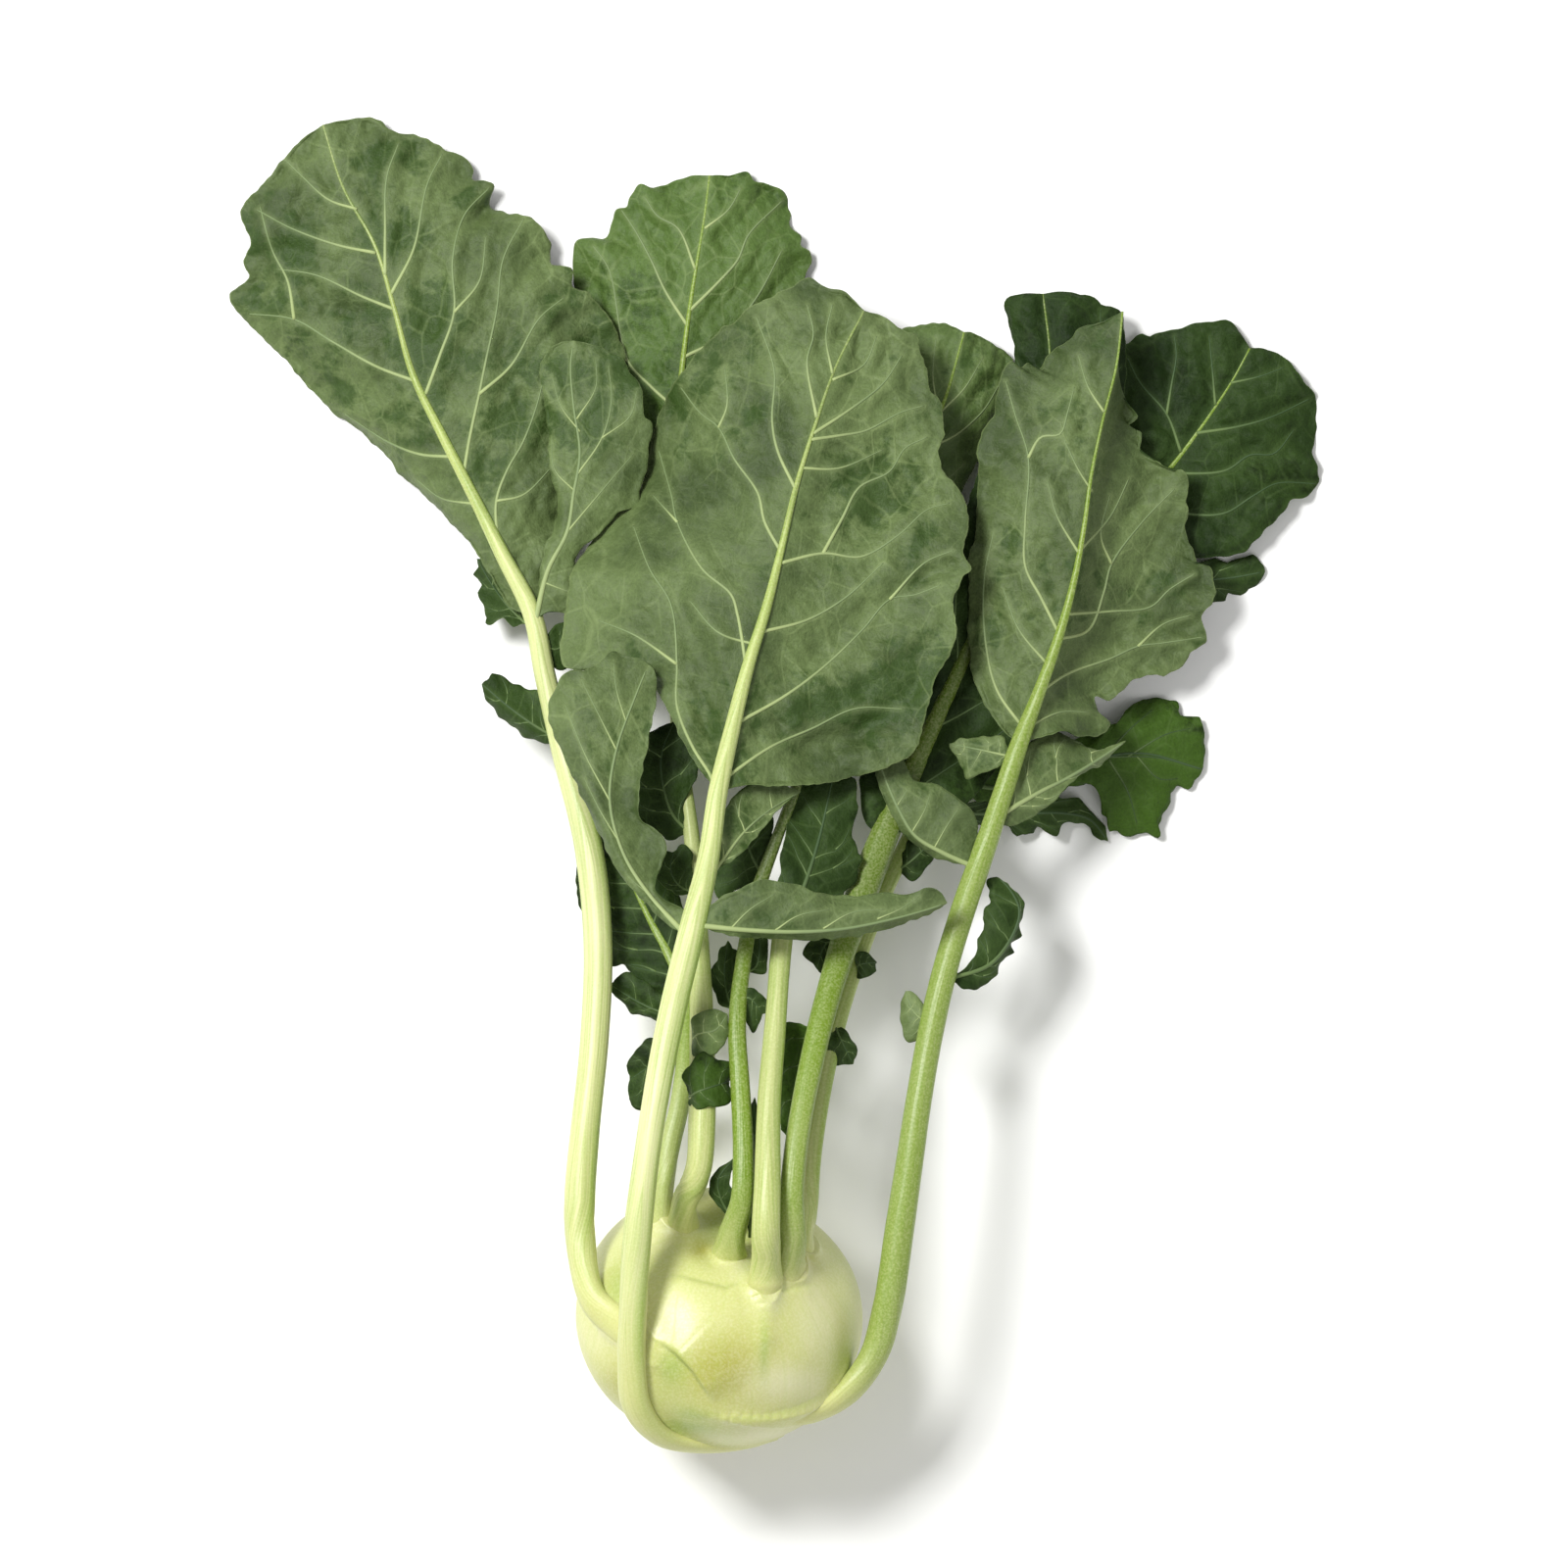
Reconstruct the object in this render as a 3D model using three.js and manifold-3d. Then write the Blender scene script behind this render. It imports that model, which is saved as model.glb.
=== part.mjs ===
// A kohlrabi with all its leaves on, lying on its side as it is laid on a kitchen table.
//
// Millimetres, +Z up. The origin is the middle of the small flat spot under the bulb,
// on the surface that the plant lies on. +Y runs from the bulb to the tips of the leaves.
//
// The bulb is a swollen stem. Nine leaves grow from it in a spiral: three old ones from its
// lower half (left, front, right) and six from its crown. Each leaf is a stalk, which tapers
// on into the midrib of its blade, a blade, and a few small leaflets along the stalk.

import * as THREE from "three";
import { mergeVertices } from "three/addons/utils/BufferGeometryUtils.js";
import Module from "manifold-3d";

const manifold = await Module();
manifold.setup();

// ---------------------------------------------------------------- driving dimensions

const BULB_RADIUS = 45.5; // across the equator
const BULB_POLAR = 35; // from the equator's plane to the crown, and to the root
const BULB_FACETS = 24; // round its stem axis
const FLAT_SPOT_DEPTH = 0.9; // how much the resting side is flattened
const STEM_AXIS = new THREE.Vector3(0.12, 0.78, 0.61).normalize(); // from root to crown
const ROOT_RADIUS = 8; // of the woody root, cut off short
const ROOT_LENGTH = 6;

const GAP = 0.3; // between neighbouring pieces
const RIB_GAP = 0.7; // between a midrib and the blade under it
const BLADE_THICKNESS = 1.1; // at the middle; a blade thins to nothing at its margin
const LEAFLET_THICKNESS = 0.9;
const RIB_TIP_RADIUS = 0.6;

const STALK_SIDES = 8;
const STALK_STEP = 22; // length of one straight piece of a stalk
const EDGE_DROOP = 1.4; // over 1, a blade keeps level near its rib and bends towards its margin
const STEP = 0.02; // share of a blade over which its slope is taken
const BLADE_AROUND = 12; // facets round a blade's section
const BLADE_ALONG = 15; // facets from base to tip
const LEAFLET_AROUND = 8;
const LEAFLET_ALONG = 7;

// ---------------------------------------------------------------- colours

const plantMaterial = (color, roughness) => new THREE.MeshStandardMaterial({ color, roughness, metalness: 0 });

const BULB_SKIN = plantMaterial(0xc9d690, 0.45);
const STALK_SKIN = plantMaterial(0xb9cf7c, 0.5);
const LEAF_UNDERSIDE = plantMaterial(0x5d7a4c, 0.65);
const LEAF_TOP = plantMaterial(0x2f4a26, 0.55);
const ROOT_WOOD = plantMaterial(0xb9a67c, 0.8);

// ---------------------------------------------------------------- the leaves
//
// Each leaf lists its stalk's centreline from the bulb to the blade, then the rib's centreline
// from the blade's base to its tip, then the blade's two margins between base and tip, left and
// right of the way the rib grows. radius is the stalk's, at the bulb and at the blade.
// cup lifts the middle of the left and right halves. face is 1 where the underside with its
// raised rib looks up, and -1 where the upper side does.

const LEAVES = {
  left: {
    radius: [4.7, 3.4],
    stalk: [[-20, -5, 66], [-31, 1, 71], [-39, 9, 67], [-43, 24, 62], [-43.5, 40, 60], [-42, 60, 57], [-39, 90, 51],
      [-38, 120, 45], [-41, 150, 39], [-49, 180, 33], [-55, 205, 29]],
    rib: [[-59, 224, 27], [-72, 250, 24], [-83, 272, 21], [-97, 300, 18], [-106, 332, 15], [-113, 350, 12],
      [-120, 361, 10], [-126, 380, 6]],
    left: [[-68, 232, 18], [-77, 243, 12], [-90, 259, 7], [-105, 275, 3.5], [-120, 287, 1], [-135, 303, 0],
      [-150, 318, 0], [-156, 326, 0], [-152, 334, 1.5], [-149, 342, 3], [-152, 350, 4], [-150, 357, 3],
      [-145, 363, 2.5], [-136, 373, 2]],
    right: [[-54, 236, 20], [-50, 260, 15], [-42, 284, 12], [-31, 304, 11], [-34, 316, 10], [-40, 325, 11],
      [-47, 330, 12], [-53, 337, 11], [-57, 346, 9], [-64, 351, 8], [-73, 353, 8], [-73, 360, 6], [-80, 366, 5],
      [-88, 372, 4], [-98, 376, 4], [-108, 382, 5], [-117, 381, 5]],
    cup: [2, 3],
    face: 1,
  },
  front: {
    radius: [4.8, 3.5],
    stalk: [[18, -30, 38], [6, -35, 43], [-9, -36.5, 52], [-20, -33.5, 62], [-26, -24, 72], [-27, -10, 80],
      [-26.5, 5, 85], [-25, 30, 89], [-22, 55, 89], [-18, 80, 86], [-14, 100, 83], [-8, 125, 78], [-3, 147, 73]],
    rib: [[0, 168, 68], [5, 190, 63], [11, 213, 58], [18, 235, 53], [22, 255, 48], [27, 272, 44], [32, 288, 40],
      [37, 302, 36], [46, 320, 30]],
    left: [[-8, 178, 60], [-13, 188, 55], [-17, 200, 50], [-24, 206, 46], [-34, 207, 41], [-47, 206, 37],
      [-49, 214, 34], [-46, 226, 31], [-40, 236, 27], [-33, 248, 22], [-27, 258, 18], [-24, 270, 17],
      [-21, 282, 18], [-15, 295, 20], [-7, 306, 23], [1, 315, 25], [10, 322, 27], [20, 327, 28], [28, 330, 28],
      [38, 327, 28]],
    right: [[12, 171, 62], [25, 170, 58], [40, 173, 55], [54, 176, 54], [62, 180, 55], [65, 192, 54],
      [69, 206, 53], [73, 220, 52], [75, 230, 52], [79, 239, 51], [77, 248, 46], [79, 258, 42], [76, 264, 39],
      [70, 271, 36], [69, 283, 33], [68, 294, 31], [64, 304, 30], [60, 312, 29], [53, 317, 29]],
    cup: [3, -4],
    face: 1,
  },
  right: {
    radius: [4.8, 3.2],
    stalk: [[4, -27, 60], [18, -30, 58], [32, -27.5, 56], [43, -19, 55], [50, -6, 56], [54, 10, 58], [57, 30, 58],
      [60, 50, 57], [63, 70, 55], [66.5, 90, 52], [71, 110, 49], [77, 130, 46], [84, 150, 44], [90, 168, 42]],
    rib: [[95, 183, 41], [103, 204, 40], [110, 225, 39], [115, 248, 37], [117, 263, 35], [121, 283, 32],
      [126, 303, 28], [128, 320, 24]],
    left: [[88, 189, 36], [83, 199, 32], [80, 213, 29], [79.5, 230, 28], [81, 247, 27], [83, 262, 26],
      [82, 275, 25], [84, 286, 24], [88, 292, 23], [90, 302, 22], [94, 303, 21], [101, 300, 20], [105, 308, 20],
      [112, 312, 20], [116, 317, 21], [123, 319, 22]],
    right: [[108, 187, 35], [117, 188, 32], [124, 188, 29], [119, 197, 28], [126, 199, 25], [136, 206, 21],
      [147, 209, 19], [155, 217, 17], [152, 226, 18], [157, 238, 16], [151, 242, 18], [149, 252, 18],
      [149, 268, 17], [141, 271, 18], [135, 274, 18], [133, 283, 18], [129, 293, 19], [125, 298, 21],
      [126, 308, 22]],
    cup: [2, -4],
    face: 1,
  },
  rear_left: {
    radius: [3.8, 2.6],
    stalk: [[-17, 24, 52], [-18, 38, 60], [-15.5, 55, 60], [-12, 70, 57], [-10, 88, 50]],
    rib: [[-10, 103, 43], [-15, 115, 39], [-23, 130, 35], [-30, 146, 32], [-36, 165, 29]],
    left: [[-16, 103, 38], [-24, 106, 34], [-33, 112, 31], [-36, 122, 29], [-43, 129, 28], [-45, 138, 27],
      [-44, 150, 26], [-41, 160, 26]],
    right: [[-8, 112, 40], [-9, 125, 37], [-15, 140, 34], [-21, 155, 31], [-29, 166, 29]],
    cup: [1, 1],
    face: 1,
  },
  rear_middle: {
    radius: [4.6, 3],
    stalk: [[-10, 22, 56], [-10, 36, 68], [-6, 50, 73], [-5, 65, 72], [-5, 90, 64], [-6, 120, 54], [-8, 150, 44],
      [-12, 180, 35], [-15, 220, 25], [-15, 245, 19]],
    rib: [[-14, 262, 16], [-13, 285, 14], [-11, 308, 12], [-8, 330, 10], [-5, 348, 8], [-3, 364, 5]],
    left: [[-22, 266, 8], [-31, 278, 5], [-38, 295, 3], [-43, 312, 0.8], [-46, 326, 0], [-46, 337, 0], [-42, 344, 1],
      [-36, 345, 2], [-34, 351, 2], [-29, 356, 2.5], [-26, 361, 2.5], [-19, 360, 3], [-12, 363, 3]],
    right: [[-3, 268, 9], [7, 281, 8], [16, 298, 7], [23, 315, 6], [28, 330, 5], [29, 339, 5], [25, 344, 5],
      [22, 351, 4], [22, 358, 3.5], [18, 361, 3], [9, 365, 3], [3, 365, 3.5]],
    cup: [1, 1],
    face: 1,
  },
  young: {
    radius: [4.0, 1.8],
    stalk: [[3, 18, 62], [5, 28, 74], [7.5, 40, 78], [8, 55, 76.5], [7, 75, 71], [6, 95, 66], [8, 115, 59],
      [12, 135, 54], [18, 152, 51]],
    rib: [[24, 168, 49], [28, 180, 47], [32, 193, 45], [36, 206, 43]],
    left: [[19, 180, 44], [21, 196, 42], [29, 206, 41]],
    right: [[35, 176, 44], [42, 190, 42], [42, 203, 41]],
    cup: [0.5, 0.5],
    face: 1,
  },
  inner: {
    radius: [4.6, 3],
    stalk: [[14, 4, 68], [15, 14, 80], [15, 28, 86], [15.5, 45, 84], [16, 70, 76], [18, 95, 66], [20, 120, 56],
      [24, 150, 44], [32, 190, 33], [43, 228, 24]],
    rib: [[52, 248, 19], [60, 266, 16], [67, 281, 14], [72, 293, 12], [78, 314, 8]],
    left: [[46, 258, 14], [47, 275, 12], [51, 292, 9], [54, 305, 7], [59, 315, 5], [66, 316.5, 4], [72, 316.5, 4.5]],
    right: [[62, 252, 14], [72, 258, 12], [78, 266, 10], [83, 275, 8], [88, 288, 6], [92, 300, 4.5], [93, 306, 4],
      [88, 309, 4], [84, 312, 4.5]],
    cup: [1, 1],
    face: 1,
  },
  upper: {
    radius: [4.2, 3.4],
    stalk: [[20, 14, 64], [23, 26, 75], [23, 40, 78], [25, 60, 74], [31, 90, 63], [38, 115, 53], [45, 135, 45]],
    rib: [[52, 153, 39], [66, 185, 31], [80, 215, 25], [92, 245, 21.5], [100, 275, 21], [105, 303, 18], [103, 326, 13]],
    left: [[47, 163, 34], [50, 178, 31], [57, 196, 27], [64, 215, 24], [71, 238, 21], [80, 262, 18], [88, 285, 16],
      [93, 305, 14], [91, 323, 12], [97, 326, 12]],
    right: [[62, 162, 33], [74, 177, 28], [88, 195, 25], [102, 217, 22], [114, 243, 20], [123, 270, 18],
      [129, 295, 16], [129, 313, 14], [124, 321, 13], [117, 325, 12], [110, 326.5, 12]],
    cup: [0.5, 0.5],
    face: 1,
  },
  far_right: {
    radius: [4.0, 2.6],
    stalk: [[23, 22, 56], [26.5, 34, 64], [28, 48, 64], [30.5, 65, 60], [36, 90, 50], [43, 112, 41], [52, 135, 32],
      [64, 160, 24], [80, 190, 17], [98, 215, 12]],
    rib: [[116, 238, 9], [131, 257, 7], [143, 270, 6], [155, 286, 5], [163, 298, 4], [169, 309, 3]],
    left: [[112, 248, 10], [117, 262, 8], [122, 276, 7], [126, 290, 6], [127, 303, 5], [128, 309, 4], [133, 312, 3],
      [140, 314, 3], [150, 316.5, 2.5], [157, 317.5, 2.5], [163, 316.5, 3]],
    right: [[128, 238, 10], [140, 240, 8], [152, 242, 7], [162, 244, 8], [168, 248, 9], [176, 255, 8], [183, 261, 6],
      [188, 263, 3], [191, 267, 1], [189, 276, 0], [190, 290, 0], [186, 298, 0], [182, 303, 0.8], [176, 307, 2]],
    cup: [1, 2],
    face: -1,
  },
};

// ---------------------------------------------------------------- the leaflets
//
// Small blades along the stalks, listed as the blades are. on names the stalk that one grows
// from; the two heart leaves stand free in the crown.

const LEAFLETS = {
  leaflet_left_upper: {
    on: "left",
    rib: [[-58, 222, 29], [-54, 238, 30], [-48, 250, 29], [-46, 262, 27], [-44, 275, 25], [-46, 290, 22],
      [-47, 303, 20], [-46, 311, 19]],
    left: [[-57, 236, 28], [-54, 250, 27], [-53, 265, 25], [-55, 285, 23], [-57, 302, 20], [-53, 308, 19]],
    right: [[-50, 229, 29], [-44, 227, 28], [-38, 231, 27], [-45, 239, 28], [-38, 249, 27], [-31, 254, 26],
      [-26, 259, 25], [-24, 270, 24], [-21, 284, 23], [-25, 296, 21], [-31, 305, 20], [-39, 310, 19]],
    cup: [1, 1],
    face: 1,
  },
  leaflet_left_lower: {
    on: "left",
    rib: [[-50, 184, 32], [-60, 190, 31], [-68, 196, 29], [-75, 202, 27]],
    left: [[-57, 184.5, 27], [-64, 188, 25], [-71, 194, 25]],
    right: [[-57, 198, 29], [-64, 202, 27], [-70, 204, 26]],
    cup: [0.5, -1],
    face: 1,
  },
  leaflet_left_under: {
    on: "left",
    rib: [[-61, 221, 26], [-68, 228, 12], [-73, 235, 6], [-77, 242, 4]],
    left: [[-66, 222, 16], [-73, 221, 6], [-76, 231, 4]],
    right: [[-64, 230, 12], [-69, 238, 6], [-73, 242, 4]],
    cup: [0, 0],
    face: -1,
  },
  leaflet_left_inner: {
    on: "left",
    rib: [[-56, 214, 28], [-51, 213, 27], [-47, 218, 25], [-42, 222, 23]],
    left: [[-53, 219, 26], [-48, 222, 25], [-44, 224, 23]],
    right: [[-52, 207, 26], [-49, 207, 24.5], [-46, 214, 23.5]],
    cup: [0, 0],
    face: -1,
  },
  leaflet_front_left: {
    on: "front",
    rib: [[-11, 124, 77], [-22, 136, 74], [-31, 149, 71], [-34, 165, 67], [-32, 181, 62], [-26, 198, 57],
      [-22, 208, 54]],
    left: [[-20, 131, 75], [-28, 142, 71], [-36, 154, 67], [-42, 167, 64], [-48, 179, 61], [-53, 190, 58],
      [-53, 197, 57], [-49, 203, 56], [-41, 206, 56], [-34, 211, 55], [-28, 210, 54]],
    right: [[-11, 131, 76], [-17, 134, 74], [-20, 141, 71], [-17, 149, 69], [-21, 156, 68], [-25, 162, 67],
      [-23, 174, 63], [-21, 188, 59], [-19, 202, 55]],
    cup: [2, -1],
    face: 1,
  },
  leaflet_front_right: {
    on: "front",
    rib: [[-6, 126, 79], [10, 124.5, 78], [25, 124, 76], [40, 125, 73], [55, 128, 70], [66, 131, 67], [72, 133, 65]],
    left: [[-3, 132, 77], [4, 136, 76], [10, 139, 75], [17, 140, 74], [26, 138, 72], [35, 135.5, 70], [47, 135.5, 68],
      [58, 135.5, 66], [66, 137, 65]],
    right: [[5, 121, 74], [15, 120.5, 71], [30, 120.5, 69], [45, 122, 67], [58, 125, 65.5], [68, 130, 64]],
    cup: [1.5, 0],
    face: 1,
  },
  leaflet_front_base: {
    on: "front",
    rib: [[-1, 147, 71], [8, 155, 64], [16, 162, 59], [26, 168, 54]],
    left: [[2, 160, 65], [8, 168, 59], [17, 170, 56]],
    right: [[4, 146, 67], [13, 154, 60], [20, 161, 57]],
    cup: [0, 0],
    face: 1,
  },
  leaflet_right_top: {
    on: "right",
    rib: [[92, 179, 41], [83, 181, 40], [73, 183, 37]],
    left: [[88, 176, 39], [81, 174, 38], [76, 179, 37]],
    right: [[86, 185, 39], [79, 185, 38]],
    cup: [0.5, 0.5],
    face: 1,
  },
  leaflet_right_folded: {
    on: "right",
    rib: [[81, 144, 44.5], [70, 149, 47], [62, 154, 48], [57, 162, 48], [53, 171, 47], [50, 179, 46]],
    left: [[69, 147, 45], [60, 153, 45], [54, 162, 45], [50, 172, 45]],
    right: [[82, 151, 46], [81, 160, 46], [75, 166, 47], [68, 170, 47], [61, 172, 47], [58, 178, 46]],
    cup: [0, 1],
    face: 1,
  },
  leaflet_right_curled: {
    on: "right",
    rib: [[72, 109, 48], [85, 113, 45], [92, 121, 43], [95, 130, 42], [92, 137, 41], [88, 141, 40]],
    left: [[80, 117, 47], [83, 126, 46], [85, 134, 45], [85, 140, 43]],
    right: [[84, 108, 43], [90, 115, 41], [95, 123, 40], [96, 133, 40]],
    cup: [1, 0],
    face: 1,
  },
  leaflet_right_small: {
    on: "right",
    rib: [[68, 94, 52], [62, 98, 51], [59, 105, 49]],
    left: [[60, 90, 49], [58, 97, 48]],
    right: [[66, 100, 51], [62, 104, 50]],
    cup: [0.5, 0.5],
    face: 1,
  },
  leaflet_right_outer: {
    on: "right",
    rib: [[88, 160, 43], [102, 168, 38], [110, 172, 35], [120, 178, 31], [129, 184, 27]],
    left: [[98, 176, 37], [105, 181, 31], [112, 182, 28], [120, 182, 27]],
    right: [[93, 158, 40], [101, 160, 37], [110, 165, 34], [118, 173, 30]],
    cup: [0.5, 0.5],
    face: 1,
  },
  leaflet_far_right_large: {
    on: "far_right",
    rib: [[71, 172, 21], [88, 169, 17], [100, 169, 14], [110, 172, 12], [120, 178, 10], [135, 180, 7], [154, 175, 2.5]],
    left: [[85, 176, 17], [100, 180, 15], [112, 184, 13], [122, 189, 11], [131, 196, 8], [140, 197, 5], [147, 196, 3],
      [149, 192, 2.5], [154, 191, 2], [155, 182, 2]],
    right: [[90, 163, 15], [103, 166, 12], [113, 170, 9], [120, 169, 7], [124, 163, 5], [127, 157, 4], [133, 155, 3],
      [140, 155, 2], [142, 162, 1.5], [146, 170, 1.5]],
    cup: [1, 1],
    face: -1,
  },
  leaflet_far_right_low: {
    on: "far_right",
    rib: [[66, 162, 22], [82, 161, 13], [98, 161, 8], [110, 161, 6], [118, 159, 4], [124, 152, 2]],
    left: [[84, 165, 12], [98, 166, 8], [110, 166, 6], [119, 163, 4], [123, 158, 3]],
    right: [[84, 157, 10], [92, 157, 7], [97, 154, 5], [101, 156, 5], [107, 155, 4], [110, 158, 4], [118, 155, 2.5]],
    cup: [0, 0],
    face: -1,
  },
  leaflet_far_right_tip: {
    on: "far_right",
    rib: [[114, 236, 8], [135, 234, 5], [150, 235, 4], [163, 236, 3], [174, 238, 1.5]],
    left: [[135, 239, 5], [150, 241, 4], [162, 241, 3], [168, 242, 2.5]],
    right: [[135, 229, 4], [148, 230, 2.5], [156, 229, 1.5], [162, 231.5, 1.2], [168, 233, 1], [172, 235, 1]],
    cup: [0, 0],
    face: -1,
  },
  leaflet_rear_left_low: {
    on: "rear_left",
    rib: [[-11, 97, 46], [-20, 99, 43], [-28, 103, 41], [-34, 107, 40]],
    left: [[-17, 95, 43], [-25, 98, 40], [-31, 102, 40]],
    right: [[-16, 102, 45], [-23, 108, 43], [-29, 110, 42]],
    cup: [1, 1],
    face: -1,
  },
  leaflet_rear_left_side: {
    on: "rear_left",
    rib: [[-11, 85, 51], [-20, 82, 48], [-28, 77, 45]],
    left: [[-17, 77, 48], [-23, 68, 46], [-27, 72, 45]],
    right: [[-16, 88, 49], [-22, 88, 47], [-27, 83, 46]],
    cup: [0.5, 0.5],
    face: -1,
  },
  leaflet_rear_upper: {
    on: "rear_middle",
    rib: [[-8, 90, 66], [-6, 92, 70.5], [-1, 93, 70], [3, 98, 67]],
    left: [[-7, 97, 69.5], [-1, 98, 69]],
    right: [[-8, 86, 70.5], [-2, 87, 70], [2, 91, 68]],
    cup: [0.5, 0.5],
    face: 1,
  },
  leaflet_rear_lower: {
    on: "rear_middle",
    rib: [[-9, 72, 70], [-6, 74, 76], [0, 76, 73], [3, 77, 66]],
    left: [[-8, 82, 74], [-2, 84, 73], [3, 82, 67]],
    right: [[-9, 70, 76], [-3, 69, 75.5], [2, 71, 70]],
    cup: [0.5, 0.5],
    face: -1,
  },
  leaflet_rear_curl: {
    on: "rear_middle",
    rib: [[-7.5, 136, 49], [-12, 138, 50], [-15, 143, 51], [-14, 149, 51]],
    left: [[-13, 136, 50.5], [-18, 140, 51.5], [-17, 147, 51.5]],
    right: [[-8.5, 143, 50], [-8, 149, 50], [-11, 151, 50.5]],
    cup: [0, 0],
    face: -1,
  },
  leaflet_rear_ragged: {
    on: "rear_middle",
    rib: [[-9, 155, 42.5], [-14, 160, 43], [-17, 168, 43], [-18, 179, 41], [-14, 190, 38]],
    left: [[-15, 153, 42.5], [-21, 157, 43], [-27, 163, 43], [-27, 174, 41.5], [-24, 185, 40]],
    right: [[-11, 163, 42.5], [-7, 172, 42], [-5, 182, 41], [-8, 190, 39]],
    cup: [0, 0],
    face: -1,
  },
  leaflet_young_side: {
    on: "young",
    rib: [[7, 103, 63.5], [10, 103, 64], [13, 100, 63]],
    left: [[10, 106, 63], [12.5, 104, 62.5]],
    right: [[10, 99, 62.5], [12, 98, 62]],
    cup: [0, 0],
    face: -1,
  },
  leaflet_young_low: {
    on: "young",
    rib: [[6.5, 98, 63.5], [3.5, 102, 57], [2, 110, 54], [3, 121, 51]],
    left: [[-0.5, 103, 56], [-1, 113, 53]],
    right: [[7, 104, 54.5], [7, 114, 52]],
    cup: [0, 0],
    face: -1,
  },
  leaflet_young_upper: {
    on: "young",
    rib: [[14, 141, 51.5], [10, 149, 50], [8, 159, 48], [9, 168, 46]],
    left: [[6, 137, 50], [0, 135, 50], [-2, 142, 50], [-2, 152, 49], [2, 162, 47]],
    right: [[16, 149, 50], [17, 158, 48], [14, 166, 46]],
    cup: [0, 0],
    face: -1,
  },
  leaflet_young_right: {
    on: "young",
    rib: [[9, 111, 58.5], [12, 113, 56], [13, 119, 55], [12, 126, 53]],
    left: [[9.5, 117, 55.5], [10, 123, 54]],
    right: [[15, 111, 55], [15.5, 117, 54.5], [14.5, 123, 53.5]],
    cup: [0, 0],
    face: -1,
  },
  leaflet_inner: {
    on: "inner",
    rib: [[21.5, 125, 59], [27, 138, 55], [32, 154, 49], [36, 172, 44]],
    left: [[20, 135, 58], [22, 146, 55.5], [25, 157, 51], [28, 168, 45]],
    right: [[30, 128, 57], [36, 133, 53], [43, 141, 48], [44, 152, 46], [43, 164, 44]],
    cup: [0, 0],
    face: -1,
  },
  leaflet_upper_hanging: {
    on: "upper",
    rib: [[31, 93, 61], [27, 88, 55], [25, 78, 55], [23, 68, 56], [22, 58, 57]],
    left: [[28, 84, 54], [27.5, 74, 54], [25.5, 63, 56]],
    right: [[21, 94, 56], [20, 82, 57], [20, 68, 57]],
    cup: [0, 0],
    face: -1,
  },
  leaflet_upper_small: {
    on: "upper",
    rib: [[39, 122, 50.5], [34, 120, 49], [31, 112, 47]],
    left: [[36, 115, 47], [34, 111, 46.5]],
    right: [[33, 124, 48.5], [29, 121, 48], [28, 117, 47]],
    cup: [0, 0],
    face: -1,
  },
  leaflet_far_right_strip: {
    on: "far_right",
    rib: [[56.5, 143, 30], [61, 146, 31], [66, 151, 30], [70, 158, 27]],
    left: [[59, 150, 30], [64, 156, 28]],
    right: [[62, 140, 30.5], [67, 146, 29.5], [71, 152, 28]],
    cup: [0, 0],
    face: -1,
  },
  leaflet_far_right_side: {
    on: "far_right",
    rib: [[37, 94, 49], [39, 90, 54.5], [42, 82, 52]],
    left: [[41, 93, 53], [43, 87, 52]],
    right: [[36.5, 86, 55], [38, 82, 53.5]],
    cup: [0, 0],
    face: -1,
  },
  leaflet_far_right_small: {
    on: "far_right",
    rib: [[43.5, 112, 41], [45, 113.5, 45.5], [50, 114, 42]],
    left: [[43.5, 117, 45], [47, 117, 44]],
    right: [[44, 109.5, 45], [47, 110.5, 43.5]],
    cup: [0, 0],
    face: -1,
  },
  heart_leaf_curled: {
    rib: [[5, 33, 66], [1, 40, 68], [0, 46, 70], [5, 53, 71]],
    left: [[-1.5, 40, 67], [-2.5, 46, 69]],
    right: [[4, 42, 69], [4, 48, 71]],
    cup: [0, 0],
    face: -1,
  },
  heart_leaf_upright: {
    rib: [[10, 28, 68], [10.5, 40, 71], [11, 55, 70], [11.5, 72, 66]],
    left: [[8, 38, 69], [7.5, 50, 69], [9, 64, 67]],
    right: [[12.5, 38, 69], [13.5, 52, 69], [13, 64, 67]],
    cup: [0, 0],
    face: -1,
  },
};

// ---------------------------------------------------------------- curves

const lerp = THREE.MathUtils.lerp;
const vector = ([x, y, z]) => new THREE.Vector3(x, y, z);
const curveThrough = (points) => new THREE.CatmullRomCurve3(points.map((p) => (p.isVector3 ? p : vector(p))));

// The stalk and rib of a leaf as one curve, with its radius at any share of its length.
function stalkOf(leaf) {
  const curve = curveThrough([...leaf.stalk, ...leaf.rib]);
  const bladeStart = curveThrough([...leaf.stalk, leaf.rib[0]]).getLength() / curve.getLength();
  const [atBulb, atBlade] = leaf.radius;
  const radiusAt = (share) => {
    if (share < bladeStart) return lerp(atBulb, atBlade, share / bladeStart);
    return lerp(atBlade, RIB_TIP_RADIUS, (share - bladeStart) / (1 - bladeStart));
  };
  return { curve, radiusAt };
}

// ---------------------------------------------------------------- solids

// A geometry as a manifold-3d solid, and back.
function solidOf(geometry) {
  const bare = new THREE.BufferGeometry().setAttribute("position", geometry.getAttribute("position"));
  bare.setIndex(geometry.index);
  const merged = mergeVertices(bare, 1e-3);
  return new manifold.Manifold(
    new manifold.Mesh({
      numProp: 3,
      vertProperties: merged.attributes.position.array,
      triVerts: new Uint32Array(merged.index.array),
    }),
  );
}

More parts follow.
